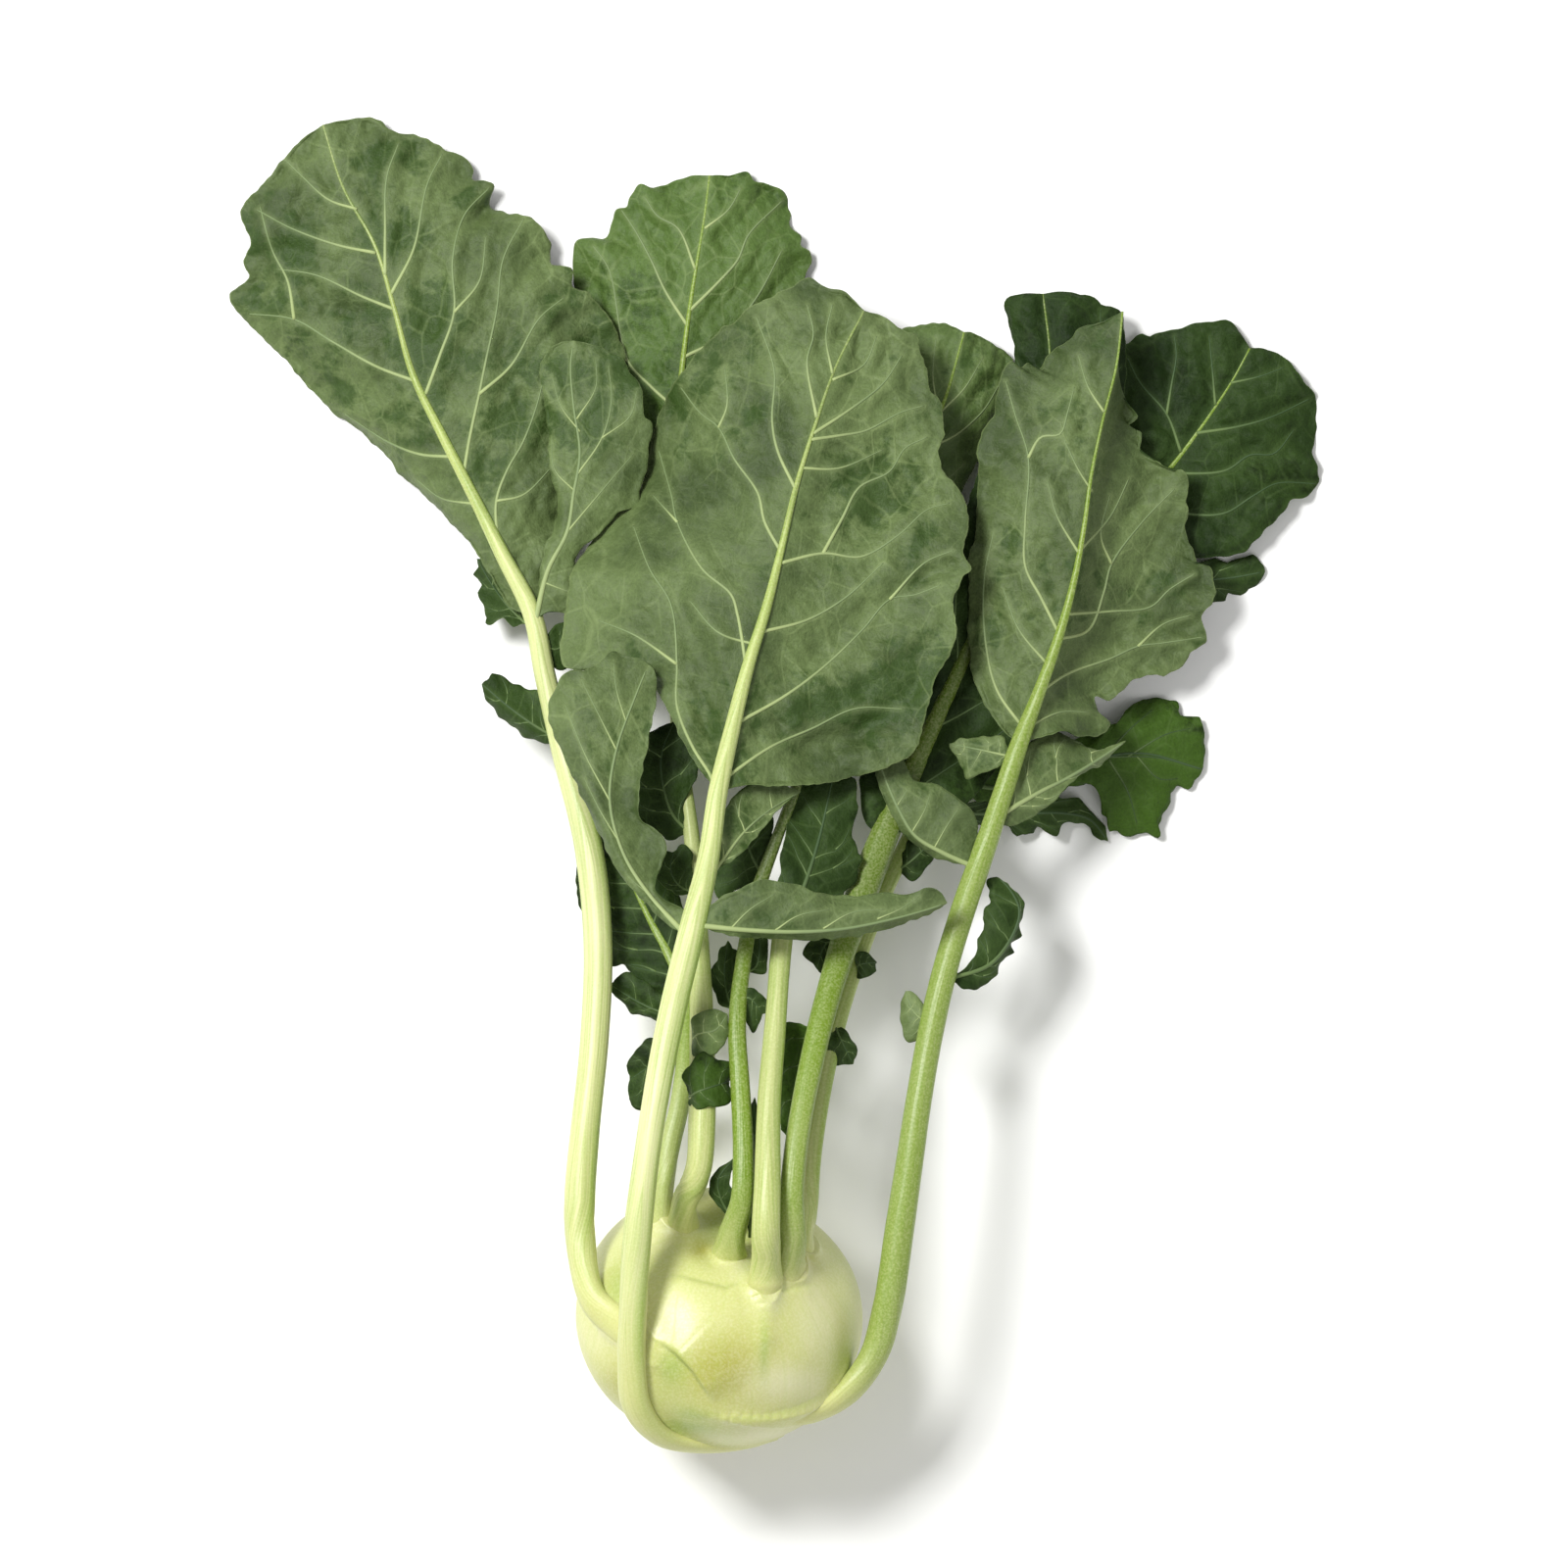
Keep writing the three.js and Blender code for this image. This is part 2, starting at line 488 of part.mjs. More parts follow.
function geometryOf(solid) {
  const { vertProperties, triVerts } = solid.getMesh();
  const geometry = new THREE.BufferGeometry();
  geometry.setAttribute("position", new THREE.BufferAttribute(vertProperties, 3));
  geometry.setIndex(new THREE.BufferAttribute(triVerts, 1));
  return geometry;
}

// What is left of a piece outside its neighbour, without loose slivers.
function cutBy(geometry, neighbour) {
  const pieces = solidOf(geometry).subtract(solidOf(neighbour)).decompose();
  return geometryOf(pieces.reduce((largest, piece) => (piece.volume() > largest.volume() ? piece : largest)));
}

// ---------------------------------------------------------------- shapes

// A capped cylinder laid along a curve, as thick as radiusAt says.
function bentCylinder(curve, radiusAt, steps) {
  const geometry = new THREE.CylinderGeometry(1, 1, 1, STALK_SIDES, steps);
  const { normals, binormals } = curve.computeFrenetFrames(steps);
  const position = geometry.getAttribute("position");
  for (let i = 0; i < position.count; i++) {
    const step = Math.round((position.getY(i) + 0.5) * steps);
    const share = step / steps;
    const radius = radiusAt(share);
    const point = curve
      .getPointAt(share)
      .addScaledVector(normals[step], position.getX(i) * radius)
      .addScaledVector(binormals[step], -position.getZ(i) * radius);
    position.setXYZ(i, point.x, point.y, point.z);
  }
  return geometry;
}

// A leaf blade: a sphere pressed flat and stretched between its rib and its two margins.
// offsetAt moves the blade's middle line off the rib, up or down. Margins rest on the table at z = 0.
function bladeBetween({ rib, left, right, cup }, offsetAt, thickness, around, along) {
  const middle = curveThrough(rib);
  const lowered = (share) => middle.getPointAt(share).setZ(middle.getPointAt(share).z + offsetAt(share));
  const base = lowered(0);
  const tip = lowered(1);
  const margins = [left, right].map((points) => curveThrough([base, ...points.map(vector), tip]));

  // The middle of the blade's thickness, share of the way along and across from -1 (left) to 1.
  const sheet = (share, across) => {
    const half = across < 0 ? 0 : 1;
    const reach = Math.abs(across);
    const inner = lowered(share);
    const edge = margins[half].getPointAt(share);
    const swell = cup[half] * Math.sin(Math.PI * reach) * Math.sin(Math.PI * share);
    return new THREE.Vector3(
      lerp(inner.x, edge.x, reach),
      lerp(inner.y, edge.y, reach),
      lerp(inner.z, edge.z, reach ** EDGE_DROOP) + swell,
    );
  };
  const normalAt = (share, across) => {
    const rightward = sheet(share, Math.min(across + STEP, 1)).sub(sheet(share, Math.max(across - STEP, -1)));
    const forward = sheet(share + STEP, across).sub(sheet(share - STEP, across));
    return rightward.cross(forward).normalize();
  };

  const geometry = new THREE.SphereGeometry(1, around, along);
  const position = geometry.getAttribute("position");
  const uv = geometry.getAttribute("uv");
  for (let i = 0; i < position.count; i++) {
    const share = 1 - uv.getY(i);
    const atEnd = share < STEP || share > 1 - STEP;
    const turn = 2 * Math.PI * uv.getX(i);
    const across = atEnd ? 0 : -Math.cos(turn);
    const point = sheet(share, across);
    if (!atEnd) point.addScaledVector(normalAt(share, across), -0.5 * thickness * Math.sin(turn));
    position.setXYZ(i, point.x, point.y, Math.max(point.z, 0));
  }
  return geometry;
}

// The bulb's outline from root to crown, turned round its stem axis. The crown is a shallow
// dish between the leaf bases.
function bulbGeometry(grow = 0) {
  const outline = new THREE.SplineCurve(
    [[0.01, -0.985], [0.2, -0.97], [0.55, -0.82], [0.86, -0.46], [1, 0], [0.92, 0.5], [0.66, 0.86], [0.4, 0.99],
      [0.2, 0.94], [0.01, 0.88]].map(([r, h]) => new THREE.Vector2(r * (BULB_RADIUS + grow), h * (BULB_POLAR + grow))),
  ).getPoints(16);
  outline[0].x = 0;
  outline[outline.length - 1].x = 0;
  const upright = new THREE.LatheGeometry(outline, BULB_FACETS);
  return upright.applyQuaternion(new THREE.Quaternion().setFromUnitVectors(new THREE.Vector3(0, 1, 0), STEM_AXIS));
}

const restingBox = new THREE.Box3().setFromBufferAttribute(bulbGeometry().getAttribute("position"));
const BULB_CENTRE = new THREE.Vector3(0, 0, -restingBox.min.z - FLAT_SPOT_DEPTH);
const placedBulb = (grow) => bulbGeometry(grow).translate(...BULB_CENTRE);

function flattenedBulb() {
  const table = new THREE.BoxGeometry(200, 200, 20).translate(0, 0, -10);
  return cutBy(placedBulb(0), table);
}

// The middle of the flat spot, which the whole plant is moved by, so that it lands on the origin.
function middleOfFlatSpot(bulb) {
  const position = bulb.getAttribute("position");
  const spot = new THREE.Box3();
  const vertex = new THREE.Vector3();
  for (let i = 0; i < position.count; i++) {
    vertex.fromBufferAttribute(position, i);
    if (Math.abs(vertex.z) < 1e-3) spot.expandByPoint(vertex);
  }
  return spot.getCenter(new THREE.Vector3());
}

function cutRoot() {
  const root = new THREE.CylinderGeometry(ROOT_RADIUS * 1.1, ROOT_RADIUS, 2 * ROOT_LENGTH, 16);
  root.applyQuaternion(new THREE.Quaternion().setFromUnitVectors(new THREE.Vector3(0, 1, 0), STEM_AXIS));
  root.translate(...BULB_CENTRE.clone().addScaledVector(STEM_AXIS, -BULB_POLAR));
  return cutBy(root, placedBulb(GAP));
}

// ---------------------------------------------------------------- the plant

const kohlrabi = new THREE.Group();
const bulb = flattenedBulb();
const RESTING_SPOT = middleOfFlatSpot(bulb);

function add(name, geometry, material) {
  const mesh = new THREE.Mesh(geometry.translate(-RESTING_SPOT.x, -RESTING_SPOT.y, 0), material);
  mesh.name = name;
  kohlrabi.add(mesh);
}

add("bulb", bulb, BULB_SKIN);
add("cut_root", cutRoot(), ROOT_WOOD);

const grownStalks = {};
for (const [name, leaf] of Object.entries(LEAVES)) {
  const { curve, radiusAt } = stalkOf(leaf);
  const steps = Math.round(curve.getLength() / STALK_STEP);
  const stalk = bentCylinder(curve, radiusAt, steps);
  grownStalks[name] = bentCylinder(curve, (share) => radiusAt(share) + GAP, steps);
  add(`stalk_${name}`, cutBy(stalk, placedBulb(GAP)), STALK_SKIN);

  const ribRadius = (share) => lerp(leaf.radius[1], RIB_TIP_RADIUS, share);
  const underRib = (share) => -leaf.face * (ribRadius(share) + RIB_GAP + 0.5 * BLADE_THICKNESS);
  const blade = bladeBetween(leaf, underRib, BLADE_THICKNESS, BLADE_AROUND, BLADE_ALONG);
  add(`blade_${name}`, blade, leaf.face > 0 ? LEAF_UNDERSIDE : LEAF_TOP);
}

for (const [name, leaflet] of Object.entries(LEAFLETS)) {
  const blade = bladeBetween(leaflet, () => 0, LEAFLET_THICKNESS, LEAFLET_AROUND, LEAFLET_ALONG);
  const fitted = leaflet.on ? cutBy(blade, grownStalks[leaflet.on]) : blade;
  add(name, fitted, leaflet.face > 0 ? LEAF_UNDERSIDE : LEAF_TOP);
}

export default kohlrabi;
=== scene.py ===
"""A kohlrabi with its leaves on, lying on a pale table, seen from straight above.

Lengths are millimetres in the tables, with x and y measured from the middle of the bulb, and
metres in the scene, measured from the flat spot that the bulb rests on."""

import math

import bmesh
import bpy
import numpy as np
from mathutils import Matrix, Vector
from mathutils.bvhtree import BVHTree
from mathutils.kdtree import KDTree


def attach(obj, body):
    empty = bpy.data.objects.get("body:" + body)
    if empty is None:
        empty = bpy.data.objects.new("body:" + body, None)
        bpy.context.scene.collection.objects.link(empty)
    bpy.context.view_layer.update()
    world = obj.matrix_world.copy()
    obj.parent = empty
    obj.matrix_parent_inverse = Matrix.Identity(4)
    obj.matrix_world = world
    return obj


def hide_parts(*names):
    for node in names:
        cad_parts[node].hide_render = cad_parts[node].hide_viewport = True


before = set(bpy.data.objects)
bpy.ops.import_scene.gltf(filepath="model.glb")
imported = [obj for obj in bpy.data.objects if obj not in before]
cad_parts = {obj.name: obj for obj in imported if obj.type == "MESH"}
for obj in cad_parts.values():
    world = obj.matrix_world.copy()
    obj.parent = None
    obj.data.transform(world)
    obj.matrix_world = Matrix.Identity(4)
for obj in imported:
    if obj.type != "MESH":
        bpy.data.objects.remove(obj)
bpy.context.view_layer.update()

MM = 0.001
RESTING_SPOT = np.array([1.411, 10.571, 0.0])  # the flat spot's place under the bulb

# ---------------------------------------------------------------- the leaves
#
# stalk: centreline x, y, z and visible width, from the bulb to the blade.
# rib: centreline x, y, z, from the blade's base to its tip.
# left and right: the margin's outline x, y, then its height at evenly spaced places.
# cup: how far the middle of each half stands above a straight line from rib to margin; 0 if not given.
# face: 1 where the underside with its raised rib looks up, -1 where the upper side does.
# veins: outlines of the side veins; a blade without them gets regular ones.

LEAVES = {
    "left": dict(
        stalk=[(-11, -15, 75, 8), (-17, -9, 76, 10), (-25, -3, 76, 11), (-32.5, 2, 71.5, 10.5),
            (-39.5, 9, 67, 10), (-43, 24, 62, 9), (-43.5, 40, 60, 9), (-42, 60, 57, 9), (-39, 90, 51, 8.8),
            (-38, 120, 45, 8.6), (-41, 150, 39, 8.4), (-49, 180, 33, 7.2), (-55, 205, 29, 6.4)],
        rib=[(-59, 224, 27), (-72, 250, 24), (-83, 272, 21), (-97, 300, 18), (-106, 332, 15),
            (-113, 350, 12), (-120, 361, 10), (-126, 380, 6)],
        left=([(-66, 226), (-73, 238), (-79, 247), (-86.5, 255), (-93, 262), (-101, 269), (-109, 279),
            (-120, 287), (-129, 295), (-140, 307.5), (-150, 317), (-156, 326), (-152.6, 329), (-149.5, 332),
            (-151, 336), (-149, 343), (-152, 351), (-151, 355.5), (-147, 359), (-143, 364), (-136.6, 371.5),
            (-132, 376)], [26, 16, 8, 3, 1, 0.4, 0.4, 1.5, 3, 3.5, 4, 5]),
        right=([(-54, 236), (-50, 250), (-45, 268), (-38, 285), (-30, 306), (-32, 312.6), (-35, 319),
            (-39, 323.5), (-42, 326.6), (-46.5, 328), (-47, 334), (-53.5, 336), (-53.7, 342.6), (-57, 348),
            (-62, 351), (-69, 352), (-73, 354), (-72, 361), (-78.5, 363), (-78, 366), (-82, 370),
            (-87.6, 372.5), (-95, 376), (-100, 377), (-105, 379), (-108.7, 382), (-119.6, 381.6)], [26, 18,
            13, 10, 9, 11, 12, 11, 9, 7, 5, 5, 5]),
        folds=[([(-133, 364), (-141, 355), (-147, 342)], 1.8, 3.5), ([(-134, 331), (-125, 323),
            (-113, 318)], -1.5, 3.5), ([(-128, 312), (-118, 306), (-106, 304)], 1.2, 3.5), ([(-128, 300),
            (-100, 274), (-76, 246)], 1.6, 5), ([(-97, 352), (-92, 330), (-90, 310)], -1.3, 4.5),
            ([(-74, 330), (-66, 300), (-62, 282)], -1.4, 5), ([(-60, 330), (-54, 310), (-50, 290)], 1.2, 5),
            ([(-100, 318), (-90, 296), (-80, 276)], 1.0, 4)],
        veins=[[(-70, 246), (-70.5, 260), (-67, 270), (-62, 279), (-57.6, 291), (-54, 306)], [(-81, 268),
            (-79, 280), (-76, 294), (-74, 304), (-70.5, 321), (-68.5, 337), (-62, 350)], [(-93, 294),
            (-88.6, 306), (-84, 320), (-84.5, 337), (-81, 351), (-73, 360)], [(-104, 326), (-97, 340),
            (-92.7, 361), (-88, 371)], [(-106, 332), (-106, 346), (-105.6, 363), (-102, 374)], [(-84, 274),
            (-95, 275), (-105, 279), (-113, 284), (-119, 288)], [(-96, 298), (-109, 303), (-123, 311),
            (-135, 318), (-149.5, 320)], [(-135, 318), (-137, 330), (-142, 340), (-146, 354)], [(-103, 321),
            (-113, 325), (-128, 332), (-140, 334)], [(-109, 339), (-121, 341.5), (-136, 347), (-147, 353)],
            [(-115, 353), (-124, 356), (-133, 364), (-138, 369)], [(-76, 294), (-66, 303), (-57, 318),
            (-49, 325)], [(-84, 320), (-76, 330), (-74, 344)], [(-70.5, 260), (-62, 262), (-52, 272)],
            [(-77, 259), (-88, 261), (-96, 267)]],
        cup=(2, 3), face=1,
    ),
    "front": dict(
        stalk=[(18, -35.5, 41, 5), (8.3, -37.4, 47, 7), (-6, -37.8, 54.5, 8.2), (-18, -34.5, 63, 9.4),
            (-25.4, -25, 72, 9.8), (-27, -10, 80, 9), (-26.5, 5, 85, 8.6), (-25, 30, 89, 8.6),
            (-22, 55, 89, 7.6), (-18, 80, 86, 7.8), (-14, 100, 83, 8), (-8, 125, 78, 8),
            (-3, 147, 73, 6.8)],
        rib=[(0, 168, 68), (5, 190, 63), (11, 213, 58), (18, 235, 53), (22, 255, 48), (27, 272, 44),
            (32, 288, 40), (37, 302, 36), (46, 320, 30)],
        left=([(-8, 178), (-13, 188), (-17, 196), (-22, 205), (-34, 207), (-47, 207), (-50, 211),
            (-49, 220), (-48, 229), (-46, 238), (-41, 246), (-33, 256), (-24.7, 264), (-22, 275.5),
            (-19.5, 286), (-15.4, 295), (-12, 300), (-5, 308.5), (-1, 312.6), (4, 316), (9.4, 321),
            (14.6, 323.5), (20.7, 326.6), (28, 330), (34, 327.5), (40, 326)], [66, 55, 47, 42, 37, 34, 30,
            24, 19, 17, 18, 21, 24, 27, 28, 28]),
        right=([(10, 170), (20, 169.5), (33, 170.5), (45.5, 173.4), (57, 177.5), (62, 181), (65, 191),
            (68, 203), (73, 212), (74.4, 222), (74, 229), (76.5, 235), (79.6, 238), (76.5, 243.5),
            (78.5, 249), (78.7, 257), (76, 263), (73, 267), (70, 271), (70, 279), (71, 286), (70, 291),
            (67, 294), (66, 301), (63.6, 307.5), (63, 311.6), (58, 314), (52.7, 318)], [66, 59, 55, 54, 54,
            54, 53, 52, 51, 47, 41, 36, 33, 31, 30, 29]),
        folds=[([(19, 190), (30, 197), (50, 208), (76, 226)], 2.0, 4.5), ([(22, 181), (45, 187), (76, 210)],
            -2.2, 4.5), ([(16, 175), (36, 176), (60, 186)], 1.8, 4), ([(26, 206), (48, 222), (76, 244)],
            -1.8, 5), ([(28, 304), (34, 313), (43, 312), (46, 303), (40, 296)], -1.8, 3), ([(-8, 240),
            (0, 220), (5, 200), (4, 182)], 1.8, 3.5), ([(-17, 238), (-7, 208), (-1, 182)], -1.8, 4),
            ([(26, 240), (48, 232), (72, 250)], 1.4, 5), ([(-30, 214), (-24, 240), (-18, 262)], 1.5, 5),
            ([(-12, 270), (0, 262), (8, 246)], -1.3, 4), ([(58, 262), (46, 252), (36, 250)], -1.2, 4)],
        veins=[[(20, 243), (14.6, 253), (12.5, 262), (5, 273), (0, 283), (-6, 288), (-12, 296)], [(0, 283),
            (2.7, 290), (2, 302)], [(9, 206), (6, 224), (4, 230), (-5, 238), (-13, 253), (-15, 262),
            (-19, 276)], [(-13, 253), (-21, 262)], [(0, 168), (-3, 174), (-8, 182), (-13, 195), (-13, 208),
            (-15, 227), (-21.6, 238), (-27, 252)], [(24.5, 263), (18.7, 275.5), (17, 285), (17.6, 301),
            (12, 318)], [(31, 286), (28, 304), (30, 312.6), (28, 322)], [(20, 240), (33, 243), (45, 242),
            (57, 249), (66, 257), (73, 259)], [(33, 243), (39, 254), (44.5, 264), (54, 269), (59, 276.5),
            (66, 280)], [(29, 279), (39, 280.5), (46.5, 282), (58, 288), (65, 290)], [(30, 281), (42, 289),
            (52, 297), (58, 306)], [(7, 190), (21, 198), (33, 207), (45.5, 219), (54, 228.5), (62, 230),
            (70, 233)], [(54, 228.5), (65, 240), (74, 244)], [(2, 172), (16.6, 182), (30, 188), (43, 194),
            (58, 194)], [(13, 218), (28, 222), (40, 229), (52, 240)], [(-13, 208), (-26, 217), (-38, 222)],
            [(12, 214), (0, 218), (-9, 228)], [(26, 270), (38, 270), (52, 276)], [(36, 298), (46, 303),
            (50, 312)], [(36, 300), (34, 312), (36, 322)]],
        cup=(3, -4), face=1,
    ),
    "right": dict(
        stalk=[(-4, -25.5, 74, 2.5), (6, -27.5, 74.6, 3.4), (19, -28.8, 69, 5), (31, -27, 60, 8),
            (41, -20.5, 56, 10.4), (49.5, -8, 56, 9.4), (54, 10, 58, 9.2), (57, 30, 58, 9),
            (60, 50, 57, 8.4), (63, 70, 55, 8), (66.5, 90, 52, 7.8), (71, 110, 49, 7.7), (77, 130, 46, 7.5),
            (84, 150, 44, 7), (90, 168, 42, 6.2)],
        rib=[(95, 183, 41), (103, 204, 40), (110, 225, 39), (115, 248, 37), (117, 263, 35), (121, 283, 32),
            (126, 303, 28), (128, 320, 24)],
        left=([(89, 188), (86, 193), (81, 202), (79.6, 213), (79, 218), (79.6, 233), (79.6, 241.5),
            (81.6, 251), (82, 261), (82.7, 271), (83, 280), (85, 284), (88, 287), (88.6, 293), (90, 301),
            (93, 304), (96, 301.5), (98, 303), (101, 300.5), (104, 305.5), (107, 308.6), (110.5, 310),
            (114.7, 315), (120, 316), (124, 318)], [40, 33, 29, 28, 27, 26, 25, 24, 23, 21, 20, 20, 22]),
        right=([(109.5, 187), (114, 185.5), (123, 187), (124, 189), (120, 194), (119, 198), (124, 197),
            (127, 200), (133, 204), (140.5, 206), (146, 207), (151, 213), (155, 216), (153, 224),
            (156, 228), (157, 235), (156, 239), (152, 240.5), (150, 246), (148, 251), (149, 256),
            (148.5, 261), (149, 267), (147, 270), (142.5, 270), (139, 273), (134, 275.5), (134, 282),
            (129, 283), (133, 287), (129, 291.5), (126, 297), (126, 308)], [39, 32, 27, 23, 19, 17, 17, 17,
            18, 18, 18, 18, 19, 20, 22]),
        veins=[[(108, 217), (102, 229), (97, 239), (97, 253), (98, 273.5), (94, 287), (91, 298)],
            [(98, 273.5), (102, 280), (108, 281), (110.5, 288), (112.6, 296)], [(118, 263), (113.6, 270),
            (109, 280)], [(97, 187), (88, 200), (84.5, 215), (84, 235), (87, 250)], [(104, 208), (95, 219),
            (90, 232)], [(114, 243), (107, 255), (104, 266)], [(122, 288), (117, 296), (114, 306)],
            [(107, 216), (117, 219), (122, 231), (124.5, 240), (134, 253), (144.6, 264)], [(124.5, 240),
            (121, 249), (124, 262)], [(110, 224), (124, 225), (137, 226.5), (143, 232), (151, 237)],
            [(101, 199), (110, 205), (124, 210), (133, 214), (140.5, 215), (154, 217)], [(97, 188),
            (108, 193), (117, 193)], [(115, 245), (124, 255), (130, 267)], [(133, 214), (141, 221),
            (150, 224)]],
        cup=(2, -3), bend=(1.4, 0.42), taper=2.6, fresh_stalk=0.85, face=1,
    ),
    "rear_left": dict(
        stalk=[(-17, 24, 52, 11), (-18, 38, 60, 7.5), (-15.5, 55, 60, 6.4), (-12, 70, 57, 6),
            (-10, 88, 50, 5.4)],
        rib=[(-10, 103, 43), (-15, 115, 39), (-23, 130, 35), (-30, 146, 32), (-36, 165, 29)],
        left=([(-16, 103), (-24, 106), (-30, 113), (-34.5, 113), (-36, 122), (-43, 129), (-45, 138),
            (-44, 150), (-41, 160)], [40, 33, 29, 27, 27, 27]),
        right=([(-8, 112), (-9, 125), (-15, 140), (-21, 155), (-29, 166)], [41, 37, 34, 31, 29]),
        cup=(1, 1), fresh_stalk=0.4, face=-1,
    ),
    "rear_middle": dict(
        stalk=[(-11.5, 26, 54, 10.5), (-10.5, 38, 66, 8.8), (-6, 50, 73, 7.9), (-5, 65, 72, 8.3),
            (-5, 90, 64, 7.6), (-6, 120, 54, 6), (-8, 150, 44, 5), (-12, 180, 35, 4.6), (-15, 220, 25, 4.2),
            (-15, 245, 19, 4)],
        rib=[(-14, 262, 16), (-13, 285, 14), (-11, 308, 12), (-8, 330, 10), (-5, 348, 8), (-3, 364, 5)],
        left=([(-22, 266), (-31, 278), (-38, 295), (-43, 312), (-46, 329), (-46.5, 339.5), (-45, 343),
            (-41, 344), (-37, 344), (-35, 346), (-34, 350), (-32, 353), (-29, 354), (-28, 358), (-25, 361),
            (-20.5, 360), (-15, 362), (-7.6, 364)], [14, 6, 2.5, 1, 0.5, 0.5, 1, 2, 2.5, 3, 3.5]),
        right=([(-3, 268), (7, 281), (16, 298), (23, 315), (27, 331), (29, 335), (29, 339.5), (26, 341.5),
            (26, 345), (22.6, 348), (22, 356), (20.7, 359), (14.6, 361.5), (11.5, 362), (9.4, 365),
            (3, 364)], [14, 9, 7, 6, 5, 5, 4, 3, 3, 3.5]),
        veins=[[(-13, 289), (-22, 297), (-29, 305), (-35, 334), (-40, 341.5)], [(-10, 316), (-17, 327),
            (-21.6, 337), (-27, 347), (-31, 353)], [(-7.5, 334), (-13, 347), (-19.5, 351), (-23.6, 357)],
            [(-9, 321), (0, 330), (6, 337), (9.4, 345), (20, 356)], [(-4.5, 347), (3, 353), (7, 360)],
            [(-11, 306), (2, 313), (12, 325), (20, 340)], [(-29, 305), (-37, 312), (-42, 326)], [(-12, 290),
            (2, 298), (14, 312), (23, 328)]],
        cup=(1, 1), fresh_stalk=0.3, fresh=0.9, face=1,
    ),
    "young": dict(
        stalk=[(3, 20, 64, 10.5), (4.5, 29, 73, 8.2), (7.5, 40, 78, 6.8), (8, 55, 76.5, 6.4),
            (7, 75, 71, 6), (6, 95, 66, 5.4), (8, 115, 59, 4.9), (12, 135, 54, 4.4), (18, 152, 51, 3.5)],
        rib=[(24, 168, 49), (28, 180, 47), (32, 193, 45), (36, 206, 43)],
        left=([(19, 180), (21, 196), (29, 206)], [46, 42, 41]),
        right=([(35, 176), (42, 190), (42, 203)], [46, 42, 41]),
        cup=(0.5, 0.5), fresh_stalk=1.0, face=-1,
    ),
    "inner": dict(
        stalk=[(14.4, 2, 77.4, 2.5), (14.6, 9, 75.8, 6), (14.8, 15, 76.5, 9.5), (15, 22, 80.5, 9.2),
            (15, 31, 85.8, 8.8), (15.5, 45, 84, 7.9), (16, 70, 76, 7), (18, 95, 66, 6.6),
            (20, 120, 56, 6.3), (24, 150, 44, 5.6), (32, 190, 33, 5), (43, 228, 24, 4.6)],
        rib=[(52, 248, 19), (60, 266, 16), (67, 281, 14), (72, 293, 12), (78, 314, 8)],
        left=([(46, 258), (47, 275), (51, 292), (54, 305), (58, 315), (62, 316), (67, 316.6), (74, 316)],
            [17, 12, 8, 6, 5, 5]),
        right=([(62, 252), (72, 258), (76.5, 263), (83, 275), (89, 290), (92, 302), (93.5, 305), (92, 307),
            (86, 311), (80, 314)], [17, 12, 9, 6, 5, 5]),
        veins=[[(66, 277), (75, 281), (84, 289), (90, 299)], [(71, 289), (78, 296), (84, 306)], [(64, 273),
            (61, 288), (60, 306)], [(70, 287), (68, 300), (69, 312)], [(58, 262), (68, 264), (78, 272)]],
        cup=(1, 1), fresh_stalk=0.35, fresh=0.5, face=1,
    ),
    "upper": dict(
        stalk=[(20, 14, 64, 13), (23, 26, 75, 9), (23, 40, 78, 7.4), (25, 60, 74, 7.2), (31, 90, 63, 7.2),
            (38, 115, 53, 8.2), (45, 135, 45, 9.6)],
        rib=[(52, 153, 39), (66, 185, 31), (80, 215, 25), (92, 245, 21.5), (100, 275, 21), (105, 303, 18),
            (103, 326, 13)],
        left=([(46, 159), (46, 172), (51, 188), (60, 210), (71, 238), (80, 262), (88, 285), (94, 303),
            (92.5, 316), (91, 324), (96, 326)], [37, 31, 27, 23, 20, 18, 15, 13, 12]),
        right=([(65, 158), (79, 165), (91, 180), (103, 206), (114, 243), (123, 270), (129, 295), (129, 313),
            (127, 321), (122, 322.5), (118, 325), (109.5, 326.6)], [37, 29, 25, 22, 19, 17, 15, 13, 12]),
        cup=(0.5, 0.5), fresh_stalk=0.85, face=-1,
    ),
    "far_right": dict(
        stalk=[(23, 22, 56, 14), (26.5, 34, 64, 9), (28, 48, 64, 7.4), (30.5, 65, 60, 6.6), (36, 90, 50, 6),
            (43, 112, 41, 5.4), (52, 135, 32, 5), (64, 160, 24, 4.8), (80, 190, 17, 4.6),
            (98, 215, 12, 4.4)],
        rib=[(116, 238, 9), (131, 257, 7), (143, 270, 6), (155, 286, 5), (163, 298, 4), (169, 309, 3)],
        left=([(112, 248), (117, 262), (122, 276), (126, 290), (127, 303), (128, 309), (133, 312),
            (137, 313), (140.5, 314), (145.6, 315), (149, 316), (155, 317.5), (158, 317), (163, 317),
            (166, 314)], [9, 9, 7, 5, 4, 3, 3, 3, 3]),
        right=([(128, 238), (140, 240), (152, 242), (162, 243), (167, 244), (173.5, 251), (180, 257.5),
            (182, 261), (186, 262), (191, 266.5), (190, 270), (189, 274.5), (190, 283), (190, 291),
            (189, 294), (186, 299), (183, 303), (180, 305.5), (173.5, 309)], [9, 8, 7.5, 8, 8, 6, 3, 0.8,
            0.5, 0.8, 2]),
        veins=[[(152, 282), (165, 284), (175.5, 287), (188, 293)], [(142, 269), (161, 270), (169, 275),
